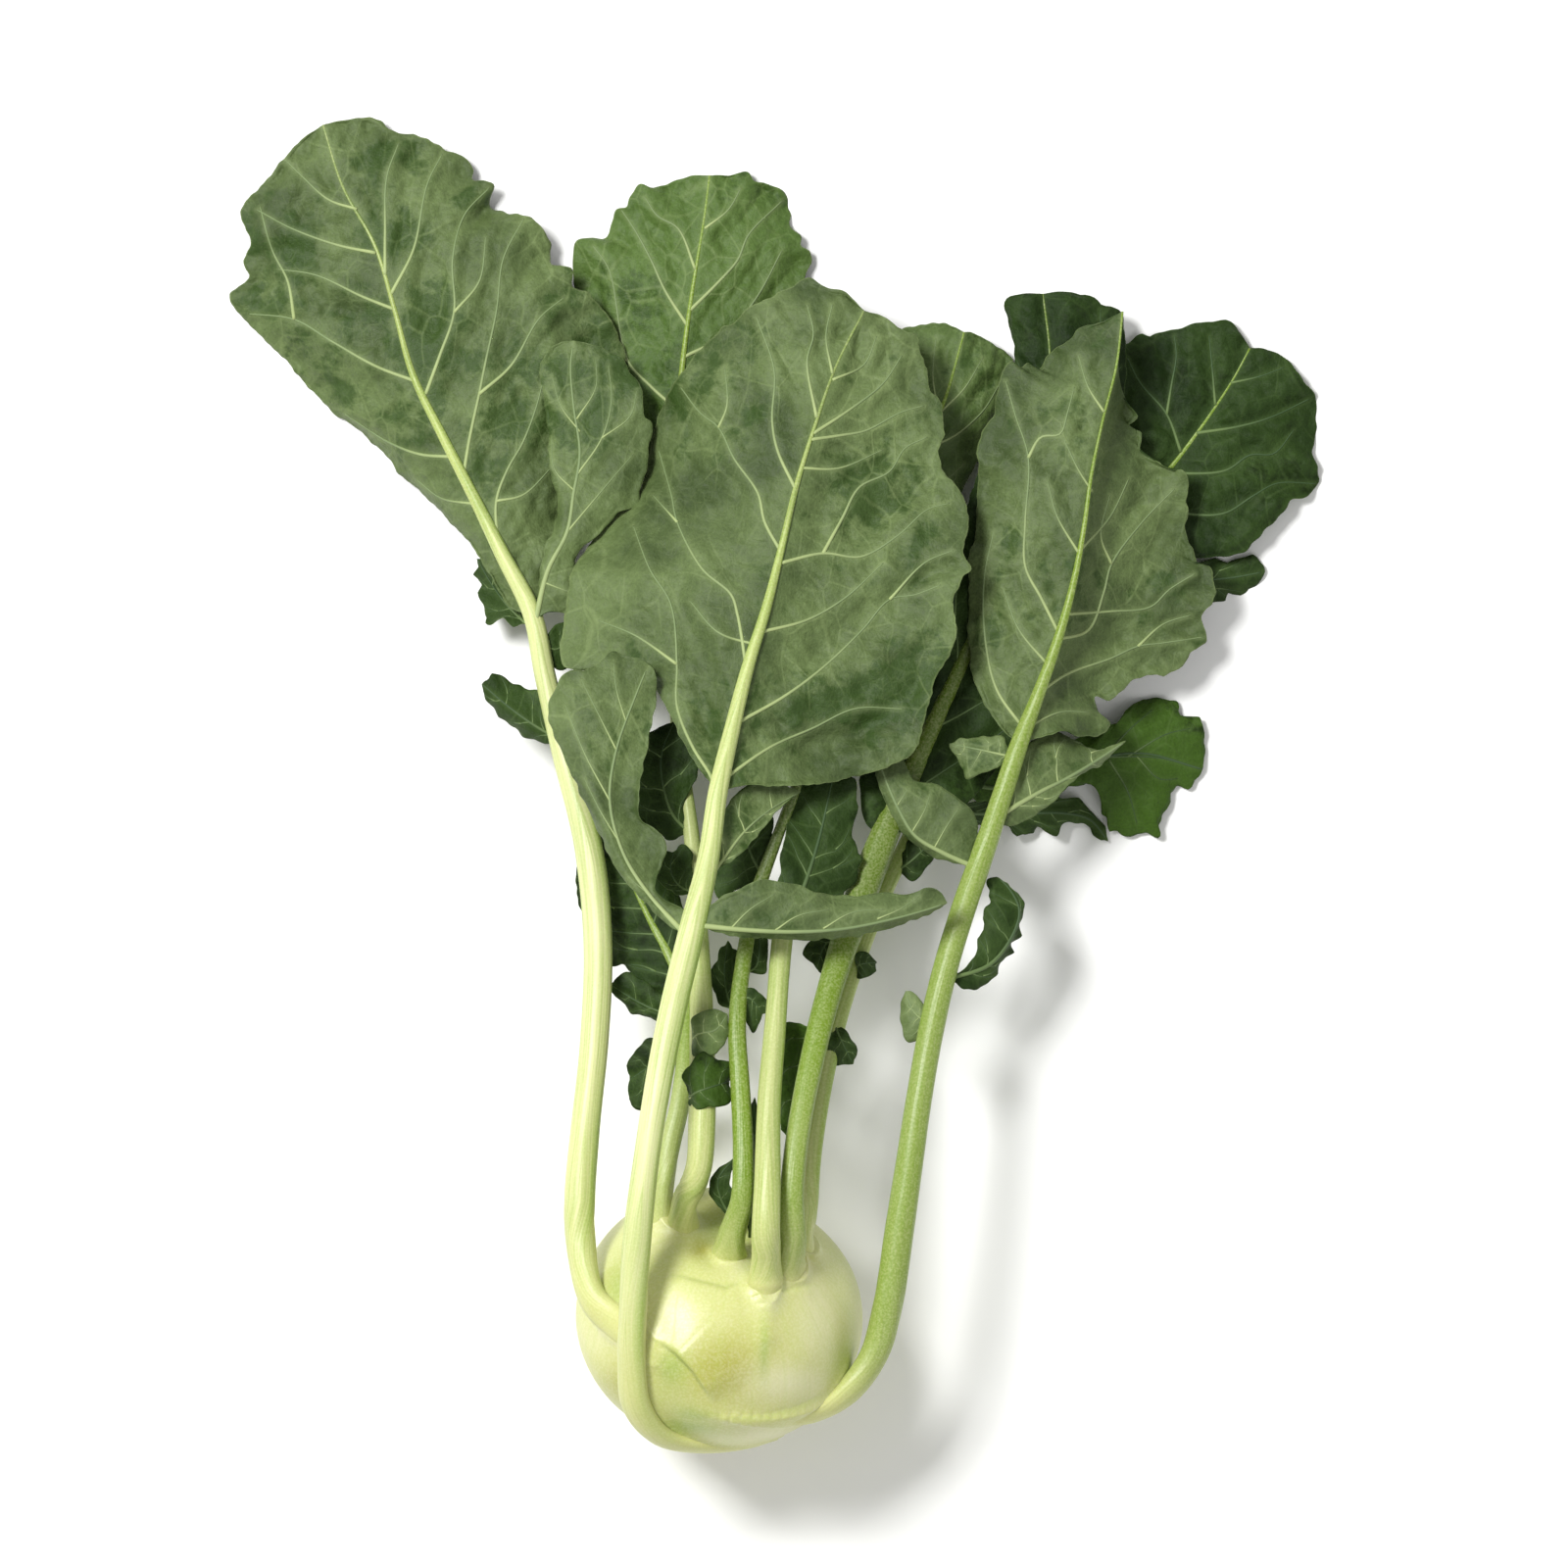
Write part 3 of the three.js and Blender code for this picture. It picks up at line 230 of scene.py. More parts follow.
            (176.6, 275.5), (183, 283)], [(134, 260), (151, 256), (161, 256.5), (170, 262), (177.6, 266),
            (190, 266)], [(147, 276), (142.5, 288), (134, 298), (130, 306)], [(142.5, 288), (144, 297),
            (145.6, 306.5), (145, 313)], [(158, 291), (157, 303), (156, 313)], [(163, 298), (172, 300),
            (180, 303)], [(136, 262), (128, 274), (126, 286)]],
        cup=(1, 2), fresh_stalk=0.5, face=-1,
    ),
}

# ---------------------------------------------------------------- the leaflets along the stalks

LEAFLETS = {
    "left_upper": dict(
        rib=[(-58, 222, 29), (-54, 238, 30), (-48, 250, 29), (-46, 262, 27), (-44, 275, 25), (-46, 290, 22),
            (-47, 303, 20), (-46, 311, 19)],
        left=([(-57, 233), (-56, 240), (-51, 258), (-53, 268), (-54, 281), (-55.6, 294), (-56.6, 302),
            (-53.5, 308), (-50, 310.6)], [29, 28, 26, 24, 22, 20, 19]),
        right=([(-54, 225), (-47, 224), (-40, 225), (-37, 230), (-40, 234), (-46, 240), (-42, 246),
            (-36, 251), (-32, 256), (-25.6, 259), (-25, 264), (-23, 270), (-22, 278), (-21, 285),
            (-23.6, 287), (-24, 293), (-25.6, 298), (-29, 302), (-31, 306), (-34, 307), (-39, 309.5)], [29,
            29, 28, 28, 27, 26, 25, 24, 23, 22, 21, 20, 19]),
        veins=[[(-45.5, 263), (-52, 270), (-53, 280)], [(-45, 268), (-37, 280), (-34, 292), (-35, 303)],
            [(-48, 250), (-38, 262), (-27, 275)], [(-44, 282), (-50, 290), (-53, 300)], [(-45, 286),
            (-39, 296), (-39, 305)], [(-37, 280), (-28, 287), (-26, 295)], [(-55, 234), (-47, 231),
            (-40, 229)]],
        cup=(1, 1), face=1,
    ),
    "left_lower": dict(
        rib=[(-50, 184, 32), (-60, 190, 31), (-68, 196, 29), (-75, 202, 27)],
        left=([(-54, 183.5), (-60, 185), (-68, 191), (-73.7, 197.6)], [29, 26, 24.5, 25]),
        right=([(-54, 190), (-57, 200), (-60, 199.7), (-65, 202), (-68.5, 204), (-74, 203)], [31, 28, 26.5,
            26]),
        cup=(0.5, -1), face=-1,
    ),
    "left_under": dict(
        rib=[(-61, 221, 26), (-68, 228, 12), (-73, 235, 6), (-77, 242, 4)],
        left=([(-66, 222), (-69.5, 223), (-73, 221.5), (-74.7, 228), (-76, 236)], [22, 12, 6, 4]),
        right=([(-64, 230), (-69, 238), (-73, 242)], [14, 7, 4]),
        face=-1,
    ),
    "left_inner": dict(
        rib=[(-56, 214, 28), (-51, 213, 27), (-47, 218, 25), (-42, 222, 23)],
        left=([(-53, 219), (-48, 222), (-44, 224)], [27, 25, 23]),
        right=([(-52, 207), (-49, 207), (-46, 214)], [27, 24.5, 23.5]),
        face=-1,
    ),
    "front_left": dict(
        rib=[(-11, 124, 77), (-22, 136, 74), (-30, 149, 71), (-34, 165, 67), (-32, 181, 62), (-26, 198, 57),
            (-22, 208, 54)],
        left=([(-14, 125), (-22.6, 133), (-30, 141), (-36, 152), (-42, 165), (-48.4, 178.5), (-53.6, 193),
            (-51.5, 200), (-48.4, 205), (-39, 207), (-34, 212), (-29, 210.5), (-25, 210)], [77, 73, 69, 65,
            61, 58, 57, 56, 55]),
        right=([(-11, 131), (-17, 134), (-20, 138), (-18.5, 143), (-16, 150), (-18.5, 155), (-25, 160),
            (-24.7, 169), (-22, 184), (-19.7, 198), (-20, 206)], [77, 74, 71, 69, 68, 66, 62, 58, 55]),
        veins=[[(-31, 152), (-37, 162), (-42, 172)], [(-34, 165), (-42, 180), (-48, 195)], [(-32, 181),
            (-39, 195), (-43, 203)], [(-29, 190), (-32, 200), (-33, 209)], [(-22, 136), (-28, 141)]],
        cup=(2, -1), face=1,
    ),
    "front_right": dict(
        rib=[(-6, 126, 79), (10, 124.5, 78), (25, 124, 76), (40, 125, 73), (55, 128, 70), (66, 131, 67),
            (72, 133, 65)],
        left=([(-2.5, 132), (4, 136), (13.5, 140), (23, 139), (32, 136), (41, 135), (53, 136), (60, 135.5),
            (65, 138), (70, 136)], [79, 77, 75, 74, 72, 70, 68, 66, 65]),
        right=([(5, 122.5), (15, 122), (30, 121.5), (45, 123), (58, 126.5), (68, 130.5)], [76, 73, 71, 69,
            66, 64.5]),
        veins=[[(4, 125), (10, 131), (18, 136)], [(18, 124.5), (25, 129), (35, 131)], [(33, 125), (42, 130),
            (52, 131)], [(50, 128), (57, 131), (63, 135)]],
        cup=(1.5, 0), face=1,
    ),
    "front_base": dict(
        rib=[(-1, 143, 71), (8, 155, 64), (16, 162, 59), (26, 168, 54)],
        left=([(-1, 153), (2, 162), (8, 169), (17, 171)], [69, 66, 61, 56]),
        right=([(4, 146), (7, 148), (14.6, 157), (21, 164)], [69, 63, 59, 56]),
        face=1,
    ),
    "right_top": dict(
        rib=[(92, 179, 41), (83, 181, 40), (73, 183, 37)],
        left=([(90, 176.5), (84, 174), (78.5, 172), (76.5, 176.5), (73, 182)], [41, 39, 38, 37]),
        right=([(90, 185), (82, 185), (76, 184)], [40, 39, 38]),
        cup=(0.5, 0.5), face=1,
    ),
    "right_folded": dict(
        rib=[(81, 144, 44.5), (70, 149, 47), (62, 154, 48), (57, 162, 48), (53, 171, 47), (50, 179, 46)],
        left=([(69, 147), (60, 153), (54, 162), (50, 172)], [46, 45, 45, 45]),
        right=([(82, 151), (81, 160), (75, 166), (68, 170), (61, 172), (58, 178)], [46, 46, 46, 47, 47,
            46]),
        veins=[[(68, 150), (72, 157), (76, 163)], [(61, 155), (65, 162), (67, 168)], [(56, 163),
            (60, 169)]],
        cup=(0, 1), face=1,
    ),
    "right_curled": dict(
        rib=[(72, 109, 48), (85, 113, 45), (92, 121, 43), (95, 130, 42), (92, 137, 41), (88, 141, 40)],
        left=([(79, 113), (81.6, 118), (84, 126), (84, 131), (86, 133), (85, 140)], [47, 46, 45, 44, 43]),
        right=([(80, 105.5), (84, 107), (89, 113.5), (93.5, 122), (96, 130), (95, 135)], [45, 42, 40.5, 40,
            40]),
        cup=(1, 0), face=-1,
    ),
    "right_small": dict(
        rib=[(68, 94, 52), (62, 98, 51), (59, 105, 49)],
        left=([(63, 90.5), (60, 89), (58, 94), (57.6, 100)], [50, 49, 48]),
        right=([(68, 96), (65, 100), (61, 105)], [51, 50, 49]),
        cup=(0.5, 0.5), face=1,
    ),
    "right_outer": dict(
        rib=[(88, 160, 43), (102, 168, 38), (110, 172, 35), (120, 178, 31), (129, 184, 27)],
        left=([(89, 168), (93, 178), (100, 184), (107, 186.5), (113, 184), (120, 181), (126, 183)], [42, 39,
            36, 33, 31, 29, 27]),
        right=([(91, 157), (97, 159), (105, 164), (114, 173), (120, 176)], [41, 38, 34, 30, 28]),
        cup=(0.5, 0.5), face=1,
    ),
    "far_right_large": dict(
        rib=[(71, 172, 21), (88, 169, 17), (100, 169, 14), (110, 172, 12), (120, 178, 10), (135, 180, 7),
            (154, 175, 2.5)],
        left=([(85, 176), (100, 180), (112, 184), (124, 188), (131, 194), (135, 197), (140.5, 197),
            (145.6, 196), (146, 193), (150, 191), (153, 191), (154, 186), (154.7, 181)], [19, 16, 13, 11, 8,
            5, 3, 2.5, 2, 2]),
        right=([(90, 163), (103, 166), (113, 170), (120, 170.5), (123.5, 168), (123, 163), (124, 158),
            (127, 155), (131, 154), (134, 155), (140, 154), (140.5, 159), (143, 164), (145.6, 170),
            (150, 170), (153, 173)], [19, 13, 9, 7, 5, 4, 3, 2, 2, 2]),
        veins=[[(113, 174), (120, 178), (130, 179), (140.5, 178.5), (153, 175)], [(122, 178), (130, 187),
            (138, 194)], [(130, 179), (142, 186), (150, 188)], [(124, 178), (130, 168), (133, 158)],
            [(133, 179), (140, 172), (146, 172)]],
        fresh=0.9, cup=(1, 1), face=-1,
    ),
    "far_right_low": dict(
        rib=[(66, 162, 22), (82, 161, 13), (98, 161, 8), (110, 161, 6), (118, 159, 4), (124, 152, 2)],
        left=([(84, 165), (98, 166), (110, 166), (117, 163), (122, 157)], [17, 11, 8, 5, 3]),
        right=([(84, 157), (92, 157), (94, 155), (97, 154), (101, 156.5), (107, 154.5), (110, 158),
            (116, 158), (120, 154)], [14, 9, 7, 5, 4, 3]),
        face=-1,
    ),
    "far_right_tip": dict(
        rib=[(114, 236, 8), (135, 234, 5), (150, 235, 4), (163, 236, 3), (174, 238, 1.5)],
        left=([(135, 239), (150, 241), (162, 241), (168, 242), (173, 240.5)], [7, 5, 4, 2.5]),
        right=([(135, 229), (148, 230), (155, 228), (162, 231), (166, 231.5), (170, 233)], [6, 4, 2.5, 1.5,
            1]),
        face=-1,
    ),
    "rear_left_low": dict(
        rib=[(-11, 97, 46), (-20, 99, 43), (-28, 103, 41), (-34, 107, 40)],
        left=([(-17, 95), (-25, 98), (-29, 100), (-32, 103)], [45, 42, 41, 40]),
        right=([(-16, 102), (-23, 108), (-29, 110.5)], [45, 43, 42]),
        cup=(1, 1), face=-1,
    ),
    "rear_left_side": dict(
        rib=[(-11, 85, 51), (-20, 82, 48), (-28, 77, 45)],
        left=([(-17, 77), (-23.6, 67), (-28, 71)], [49, 46, 45]),
        right=([(-16, 88), (-22, 90), (-27, 84)], [50, 47, 46]),
        cup=(0.5, 0.5), face=-1,
    ),
    "rear_curl": dict(
        rib=[(-7.5, 136, 49), (-12, 138, 50), (-15, 143, 51), (-14, 149, 51)],
        left=([(-13, 136), (-18, 140), (-17, 147)], [50.5, 51.5, 51.5]),
        right=([(-8.5, 143), (-8, 149), (-11, 151)], [50, 50, 50.5]),
        face=-1,
    ),
    "rear_ragged": dict(
        rib=[(-9, 155, 42.5), (-14, 160, 43), (-17, 168, 43), (-18, 179, 41), (-14, 190, 38)],
        left=([(-15, 153), (-21, 157), (-27, 163), (-27, 174), (-24, 185)], [42.5, 43, 43, 41.5, 40]),
        right=([(-11, 163), (-7, 172), (-5, 182), (-8, 190)], [42.5, 42, 41, 39]),
        face=-1,
    ),
    "rear_upper": dict(
        rib=[(-8, 90, 66), (-6, 92, 70.5), (-1, 93, 70), (3, 98, 67)],
        left=([(-8, 97), (-1, 99.5)], [69.5, 69]),
        right=([(-8, 85), (-2, 85), (3, 91)], [70.5, 70, 68]),
        cup=(0.5, 0.5), fresh=0.4, face=1,
    ),
    "rear_lower": dict(
        rib=[(-9, 72, 70), (-6, 74, 76), (0, 76, 73), (3.5, 77, 66)],
        left=([(-9, 82), (-5, 85), (0, 84), (5, 81)], [74, 73, 70, 66]),
        right=([(-9, 70), (-3, 69), (3, 71)], [76, 75.5, 70]),
        cup=(0.5, 0.5), fresh=0.7, face=-1,
    ),
    "young_side": dict(
        rib=[(7, 103, 63.5), (10, 103, 64), (14, 98, 62.5)],
        left=([(9.5, 106), (13, 105), (15.5, 101)], [63, 62.5]),
        right=([(8.5, 97), (11, 92)], [62.5, 61.5]),
        face=-1,
    ),
    "young_upper": dict(
        rib=[(14, 141, 51.5), (10, 149, 50), (8, 159, 48), (9, 168, 46)],
        left=([(6, 137), (0, 134.5), (-2, 142), (-2, 152), (2, 162)], [50, 50, 50, 49, 47]),
        right=([(16, 149), (17, 158), (14, 166)], [50, 48, 46]),
        face=-1,
    ),
    "young_right": dict(
        rib=[(9, 111, 58.5), (12, 113, 56), (13, 119, 55), (12, 126, 53)],
        left=([(9.5, 117), (10, 123)], [55.5, 54]),
        right=([(15, 111), (15.5, 117), (14.5, 123)], [55, 54.5, 53.5]),
        face=-1,
    ),
    "young_low": dict(
        rib=[(6.5, 98, 63.5), (3.5, 102, 57), (2, 110, 54), (3, 121, 51)],
        left=([(-0.5, 103), (-1, 113)], [56, 53]),
        right=([(7, 104), (7, 114)], [54.5, 52]),
        face=-1,
    ),
    "inner": dict(
        rib=[(21.5, 125, 59), (27, 138, 55), (32, 154, 49), (36, 172, 44)],
        left=([(19.5, 135), (20, 148), (22, 158), (24, 168), (28, 174)], [58, 55, 51, 47, 44]),
        right=([(30, 128), (36, 133), (43, 140), (44.5, 147), (42, 155), (43.5, 163), (42, 172)], [57, 53,
            49, 47, 45, 44]),
        face=-1,
    ),
    "upper_hanging": dict(
        rib=[(31, 93, 61), (27, 88, 55), (25, 78, 55), (23, 68, 56), (22, 58, 57)],
        left=([(29, 86), (28, 75), (26, 64)], [54, 54, 56]),
        right=([(21, 95), (19, 83), (19, 68)], [56, 57, 57]),
        fresh=0.8, face=-1,
    ),
    "upper_small": dict(
        rib=[(39, 122, 50.5), (34, 120, 49), (31, 112, 47)],
        left=([(36, 115), (34, 111)], [47, 46.5]),
        right=([(33, 124), (29, 121), (28, 117)], [48.5, 48, 47]),
        face=-1,
    ),
    "far_right_side": dict(
        rib=[(36.5, 95, 49), (38.5, 90, 54), (42.5, 82, 51)],
        left=([(40, 92.5), (43.5, 87)], [53, 52]),
        right=([(34.5, 88), (35, 82.5)], [55, 54]),
        face=-1,
    ),
    "far_right_strip": dict(
        rib=[(56.5, 143, 30), (61, 146, 31), (66, 151, 30), (70, 158, 27)],
        left=([(59, 150), (64, 156)], [30, 28]),
        right=([(62, 140), (67, 146), (71, 152)], [30.5, 29.5, 28]),
        face=-1,
    ),
    "far_right_small": dict(
        rib=[(43.5, 112, 41), (45, 113.5, 45.5), (50, 114, 42)],
        left=([(43.5, 117), (47, 117)], [45, 44]),
        right=([(44, 109.5), (47, 110.5)], [45, 43.5]),
        face=-1,
    ),
}
HEART_LEAVES = {
    "heart_leaf_curled": dict(
        rib=[(5, 33, 66), (1, 40, 68), (0, 46, 70), (5, 53, 71)],
        left=([(-1.5, 40), (-2.5, 46)], [67, 69]),
        right=([(4, 42), (4, 48)], [69, 71]),
        face=-1,
    ),
    "heart_leaf_upright": dict(
        rib=[(10, 28, 68), (10.5, 40, 71), (11, 55, 70), (11.5, 72, 66)],
        left=([(8, 38), (7.5, 50), (9, 64)], [69, 69, 67]),
        right=([(12.5, 38), (13.5, 52), (13, 64)], [69, 69, 67]),
        face=-1,
    ),
}

# Places where the waxy bloom is worn off and the darker leaf shows, some of them painted shade where a blade
# folds: x, y, radius across, radius along.
RUBBED_AND_SHADED = [(-134, 339, 8, 8), (-101, 344, 12, 9), (-78, 356, 8, 7), (-146, 323, 8, 7), (-107, 370, 13, 7),
          (-66, 285, 7, 8), (6, 276, 10, 8), (12, 286, 7, 6), (41, 300, 9, 6), (56, 268, 16, 18),
          (38, 196, 22, 11), (66, 240, 8, 22), (-30, 300, 6, 6), (-94, 316, 14, 12), (-41, 282, 9, 12),
          (76, 300, 14, 12), (92, 250, 5, 10), (84, 215, 5, 8), (140, 235, 8, 6)]

# ---------------------------------------------------------------- sizes

BLADE_THICKNESS = 0.45
LEAFLET_THICKNESS = 0.35
RIB_TIP_WIDTH = 0.7
RIB_TAPER = 1.8  # over 1, a rib narrows fastest near the blade's base
RIB_SUNK = 0.3  # share of a rib's radius that the blade's middle lies below the rib's centreline
TEETH = {"blade": ((8, 22), (0.2, 1.7)), "ragged": ((5, 12), (0.6, 2.3)), "smooth": ((8, 18), (0.1, 0.6))}
EDGE_DROOP = 1.4  # over 1, a blade keeps level near its rib and bends towards its margin
# These leaves rise from the bulb's top, and the others from its sides.
CROWN_LEAVES = ("rear_left", "rear_middle", "young", "inner", "upper", "far_right")
LARGE_BLADES = ("left", "front", "right", "rear_middle", "far_right")  # meshed finer, with wider veins
BLADE_RELIEF = 1.5  # how deep a blade sinks between its veins
BLADE_RUFFLE = 1.5  # how far its margin waves up and down
LONG_LEAFLET = 45  # from this length on, a leaflet has four pairs of veins and a wider rib
MIDDLING_LEAFLET = 30  # from this length on, it has wider veins and a deeper relief
ON_BULB = 54  # from the bulb's middle: a stalk nearer than this lies on the skin
STALK_SIDES, VEIN_SIDES, ROOT_SIDES = 28, 8, 48  # corners round each tube
ABOVE_THE_PLANT = 300
BULB_RADIUS = 45.5
BULB_POLAR = 35.0
BULB_CENTRE = np.array([0.0, 0.0, 39.81])
STEM_AXIS = np.array([0.12, 0.78, 0.61]) / math.hypot(0.12, 0.78, 0.61)
BULB_OUTLINE = [(0.0, -0.985), (0.2, -0.97), (0.55, -0.82), (0.86, -0.46), (1, 0), (0.92, 0.5), (0.66, 0.86),
                (0.4, 0.99), (0.2, 0.94), (0.0, 0.88)]  # radius and height, from the root to the crown

# ---------------------------------------------------------------- curves and noise


def curve(points, count):
    """count points evenly spaced along a smooth curve through the given ones, and its length.
    Columns after x, y and z are carried along."""
    p = np.asarray(points, float)
    p = np.vstack([2 * p[0] - p[1], p, 2 * p[-1] - p[-2]])
    share = np.linspace(0, 1, 12, endpoint=False)[:, None]
    dense = []
    for a, b, c, d in zip(p, p[1:], p[2:], p[3:]):
        gaps = [max(np.linalg.norm((v - u)[:3]), 1e-6) for u, v in ((a, b), (b, c), (c, d))]
        knots = np.cumsum([0] + [gap**0.5 for gap in gaps])
        at = knots[1] + share * (knots[2] - knots[1])

        def between(u, v, i, j):
            return ((knots[j] - at) * u + (at - knots[i]) * v) / (knots[j] - knots[i])

        first = between(between(a, b, 0, 1), between(b, c, 1, 2), 0, 2)
        second = between(between(b, c, 1, 2), between(c, d, 2, 3), 1, 3)
        dense.append(between(first, second, 1, 2))
    dense = np.vstack(dense + [p[-2:-1]])
    arc = lengths_along(dense)
    return columns_at(np.linspace(0, arc[-1], count), arc, dense), arc[-1]


def lengths_along(points):
    steps = np.linalg.norm(np.diff(points[:, :3], axis=0), axis=1)
    return np.concatenate([[0], np.cumsum(steps)])


def columns_at(at, arc, columns):
    return np.stack([np.interp(at, arc, column) for column in columns.T], axis=1)


def rolling(x, y, wavelength, seed, waves=7):
    """Smooth noise between about -1 and 1 over a plane."""
    rng = np.random.default_rng(seed)
    total = np.zeros(np.shape(x))
    for _ in range(waves):
        angle, phase, stretch = rng.uniform(0, 2 * math.pi, 2).tolist() + [rng.uniform(0.7, 1.5)]
        k = 2 * math.pi / (wavelength * stretch)
        total += np.cos(k * (np.asarray(x) * math.cos(angle) + np.asarray(y) * math.sin(angle)) + phase)
    return total / math.sqrt(waves)


def teeth(arc, seed, spacing, depth):
    """How far a toothed margin stands out at each length along it."""
    rng = np.random.default_rng(seed)
    at, out = [0.0], [0.0]
    while at[-1] < arc[-1]:
        step = rng.uniform(*spacing)
        peak = rng.uniform(0.5, 0.85)
        at += [at[-1] + 0.5 * peak * step, at[-1] + peak * step, at[-1] + step]
        tall = depth[0] + (depth[1] - depth[0]) * rng.uniform() ** 1.6
        out += [0.3 * tall, tall, -0.3 * depth[0]]
    quiet = np.clip(0.75 + 0.6 * rolling(arc, arc * 0, 90, seed + 7), 0.15, 1)
    return np.interp(arc, at, out) * quiet + 0.22 * rolling(arc, arc * 0, 4.5, seed + 9)


def smoothed(points, window):
    """The points with their bumps averaged out, ends kept."""
    kernel = np.hanning(2 * window + 3)[1:-1]
    kernel /= kernel.sum()
    padded = np.pad(points, ((window, window), (0, 0)), mode="reflect", reflect_type="odd")
    return np.stack([np.convolve(column, kernel, mode="valid") for column in padded.T], axis=1)


def near_line(points, line):
    """Distance in plan from each point to a line, signed by side, and the share along it."""
    line = np.array(line, float)
    best = np.full(len(points), 1e9)
    signed = np.zeros(len(points))
    along = np.zeros(len(points))
    total = len(line) - 1
    for k in range(total):
        a, b = line[k], line[k + 1]
        d = b - a
        t = np.clip(((points - a) @ d) / (d @ d), 0, 1)
        away = points - (a + t[:, None] * d)
        gap = np.linalg.norm(away, axis=1)
        closer = gap < best
        best = np.where(closer, gap, best)
        signed = np.where(closer, np.sign(d[0] * away[:, 1] - d[1] * away[:, 0]) * gap, signed)
        along = np.where(closer, (k + t) / total, along)
    return signed, along


# ---------------------------------------------------------------- meshes


def mesh_object(name, vertices, faces, materials, face_material=None, fields=None, uv=None):
    """A smooth mesh from millimetre vertices, with a number per vertex for each of fields."""
    mesh = bpy.data.meshes.new(name)
    mesh.from_pydata(((vertices - RESTING_SPOT) * MM).tolist(), [], faces)
    for material in materials:
        mesh.materials.append(material)
    if face_material is not None:
        mesh.polygons.foreach_set("material_index", face_material)
    for field, values in (fields or {}).items():
        layer = mesh.attributes.new(field, "FLOAT", "POINT")
        layer.data.foreach_set("value", np.asarray(values, np.float32))
    if uv is not None:
        layer = mesh.uv_layers.new(name="along_and_around")
        corners = np.zeros(len(mesh.loops), np.int32)
        mesh.loops.foreach_get("vertex_index", corners)
        layer.data.foreach_set("uv", uv[corners].astype(np.float32).ravel())
    mesh.polygons.foreach_set("use_smooth", [True] * len(mesh.polygons))
    mesh.update()
    piece = bpy.data.objects.new(name, mesh)
    bpy.context.scene.collection.objects.link(piece)
    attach(piece, "root")
    return piece


def grid_faces(rows, columns, first=0, closed=False, flip=False):
    """Quads of a grid of vertices, row by row; closed joins the last column to the first."""
    last = columns if closed else columns - 1
    row, column = np.meshgrid(np.arange(rows - 1), np.arange(last), indexing="ij")
    right = (column + 1) % columns
    quads = np.stack([row * columns + column, row * columns + right, (row + 1) * columns + right,
                      (row + 1) * columns + column], axis=-1).reshape(-1, 4) + first
    return (quads[:, ::-1] if flip else quads).tolist()


def swept(path, up_at, section, sides):
    """Rings of points round a path. section(k, angles) gives each ring's two half widths, across
    the path and along up, and up_at(point) the way that the ring's top faces."""
    tangents = np.gradient(path[:, :3], axis=0)
    tangents /= np.linalg.norm(tangents, axis=1)[:, None]
    angles = np.arange(sides) * 2 * math.pi / sides
    rings = []
    for k, (point, tangent) in enumerate(zip(path[:, :3], tangents)):
        up = up_at(point)
        up = up - tangent * (up @ tangent)
        up /= np.linalg.norm(up)
        across = np.cross(tangent, up)
        wide, high = section(k, angles)
        rings.append(point + np.outer(wide * np.sin(angles), across) + np.outer(high * np.cos(angles), up))
    return np.array(rings), angles


def tube_mesh(rings):
    """Vertices and faces of a closed tube from its rings."""
    count, sides = rings.shape[:2]
    vertices = np.vstack([rings.reshape(-1, 3), rings[0].mean(0), rings[-1].mean(0)])
    faces = grid_faces(count, sides, closed=True)
    ends = (count * sides, count * sides + 1)
    faces += [(ends[0], (j + 1) % sides, j) for j in range(sides)]
    last = (count - 1) * sides
    faces += [(ends[1], last + j, last + (j + 1) % sides) for j in range(sides)]
    return vertices, faces


def away_from_bulb(point):
    """Up, turning to straight out of the bulb for a point close to it."""
    out = point - BULB_CENTRE
    near = np.clip((62 - np.linalg.norm(out)) / 10, 0, 1)
    return near * out / np.linalg.norm(out) + (1 - near) * np.array([0, 0, 1.0])


# ---------------------------------------------------------------- blades


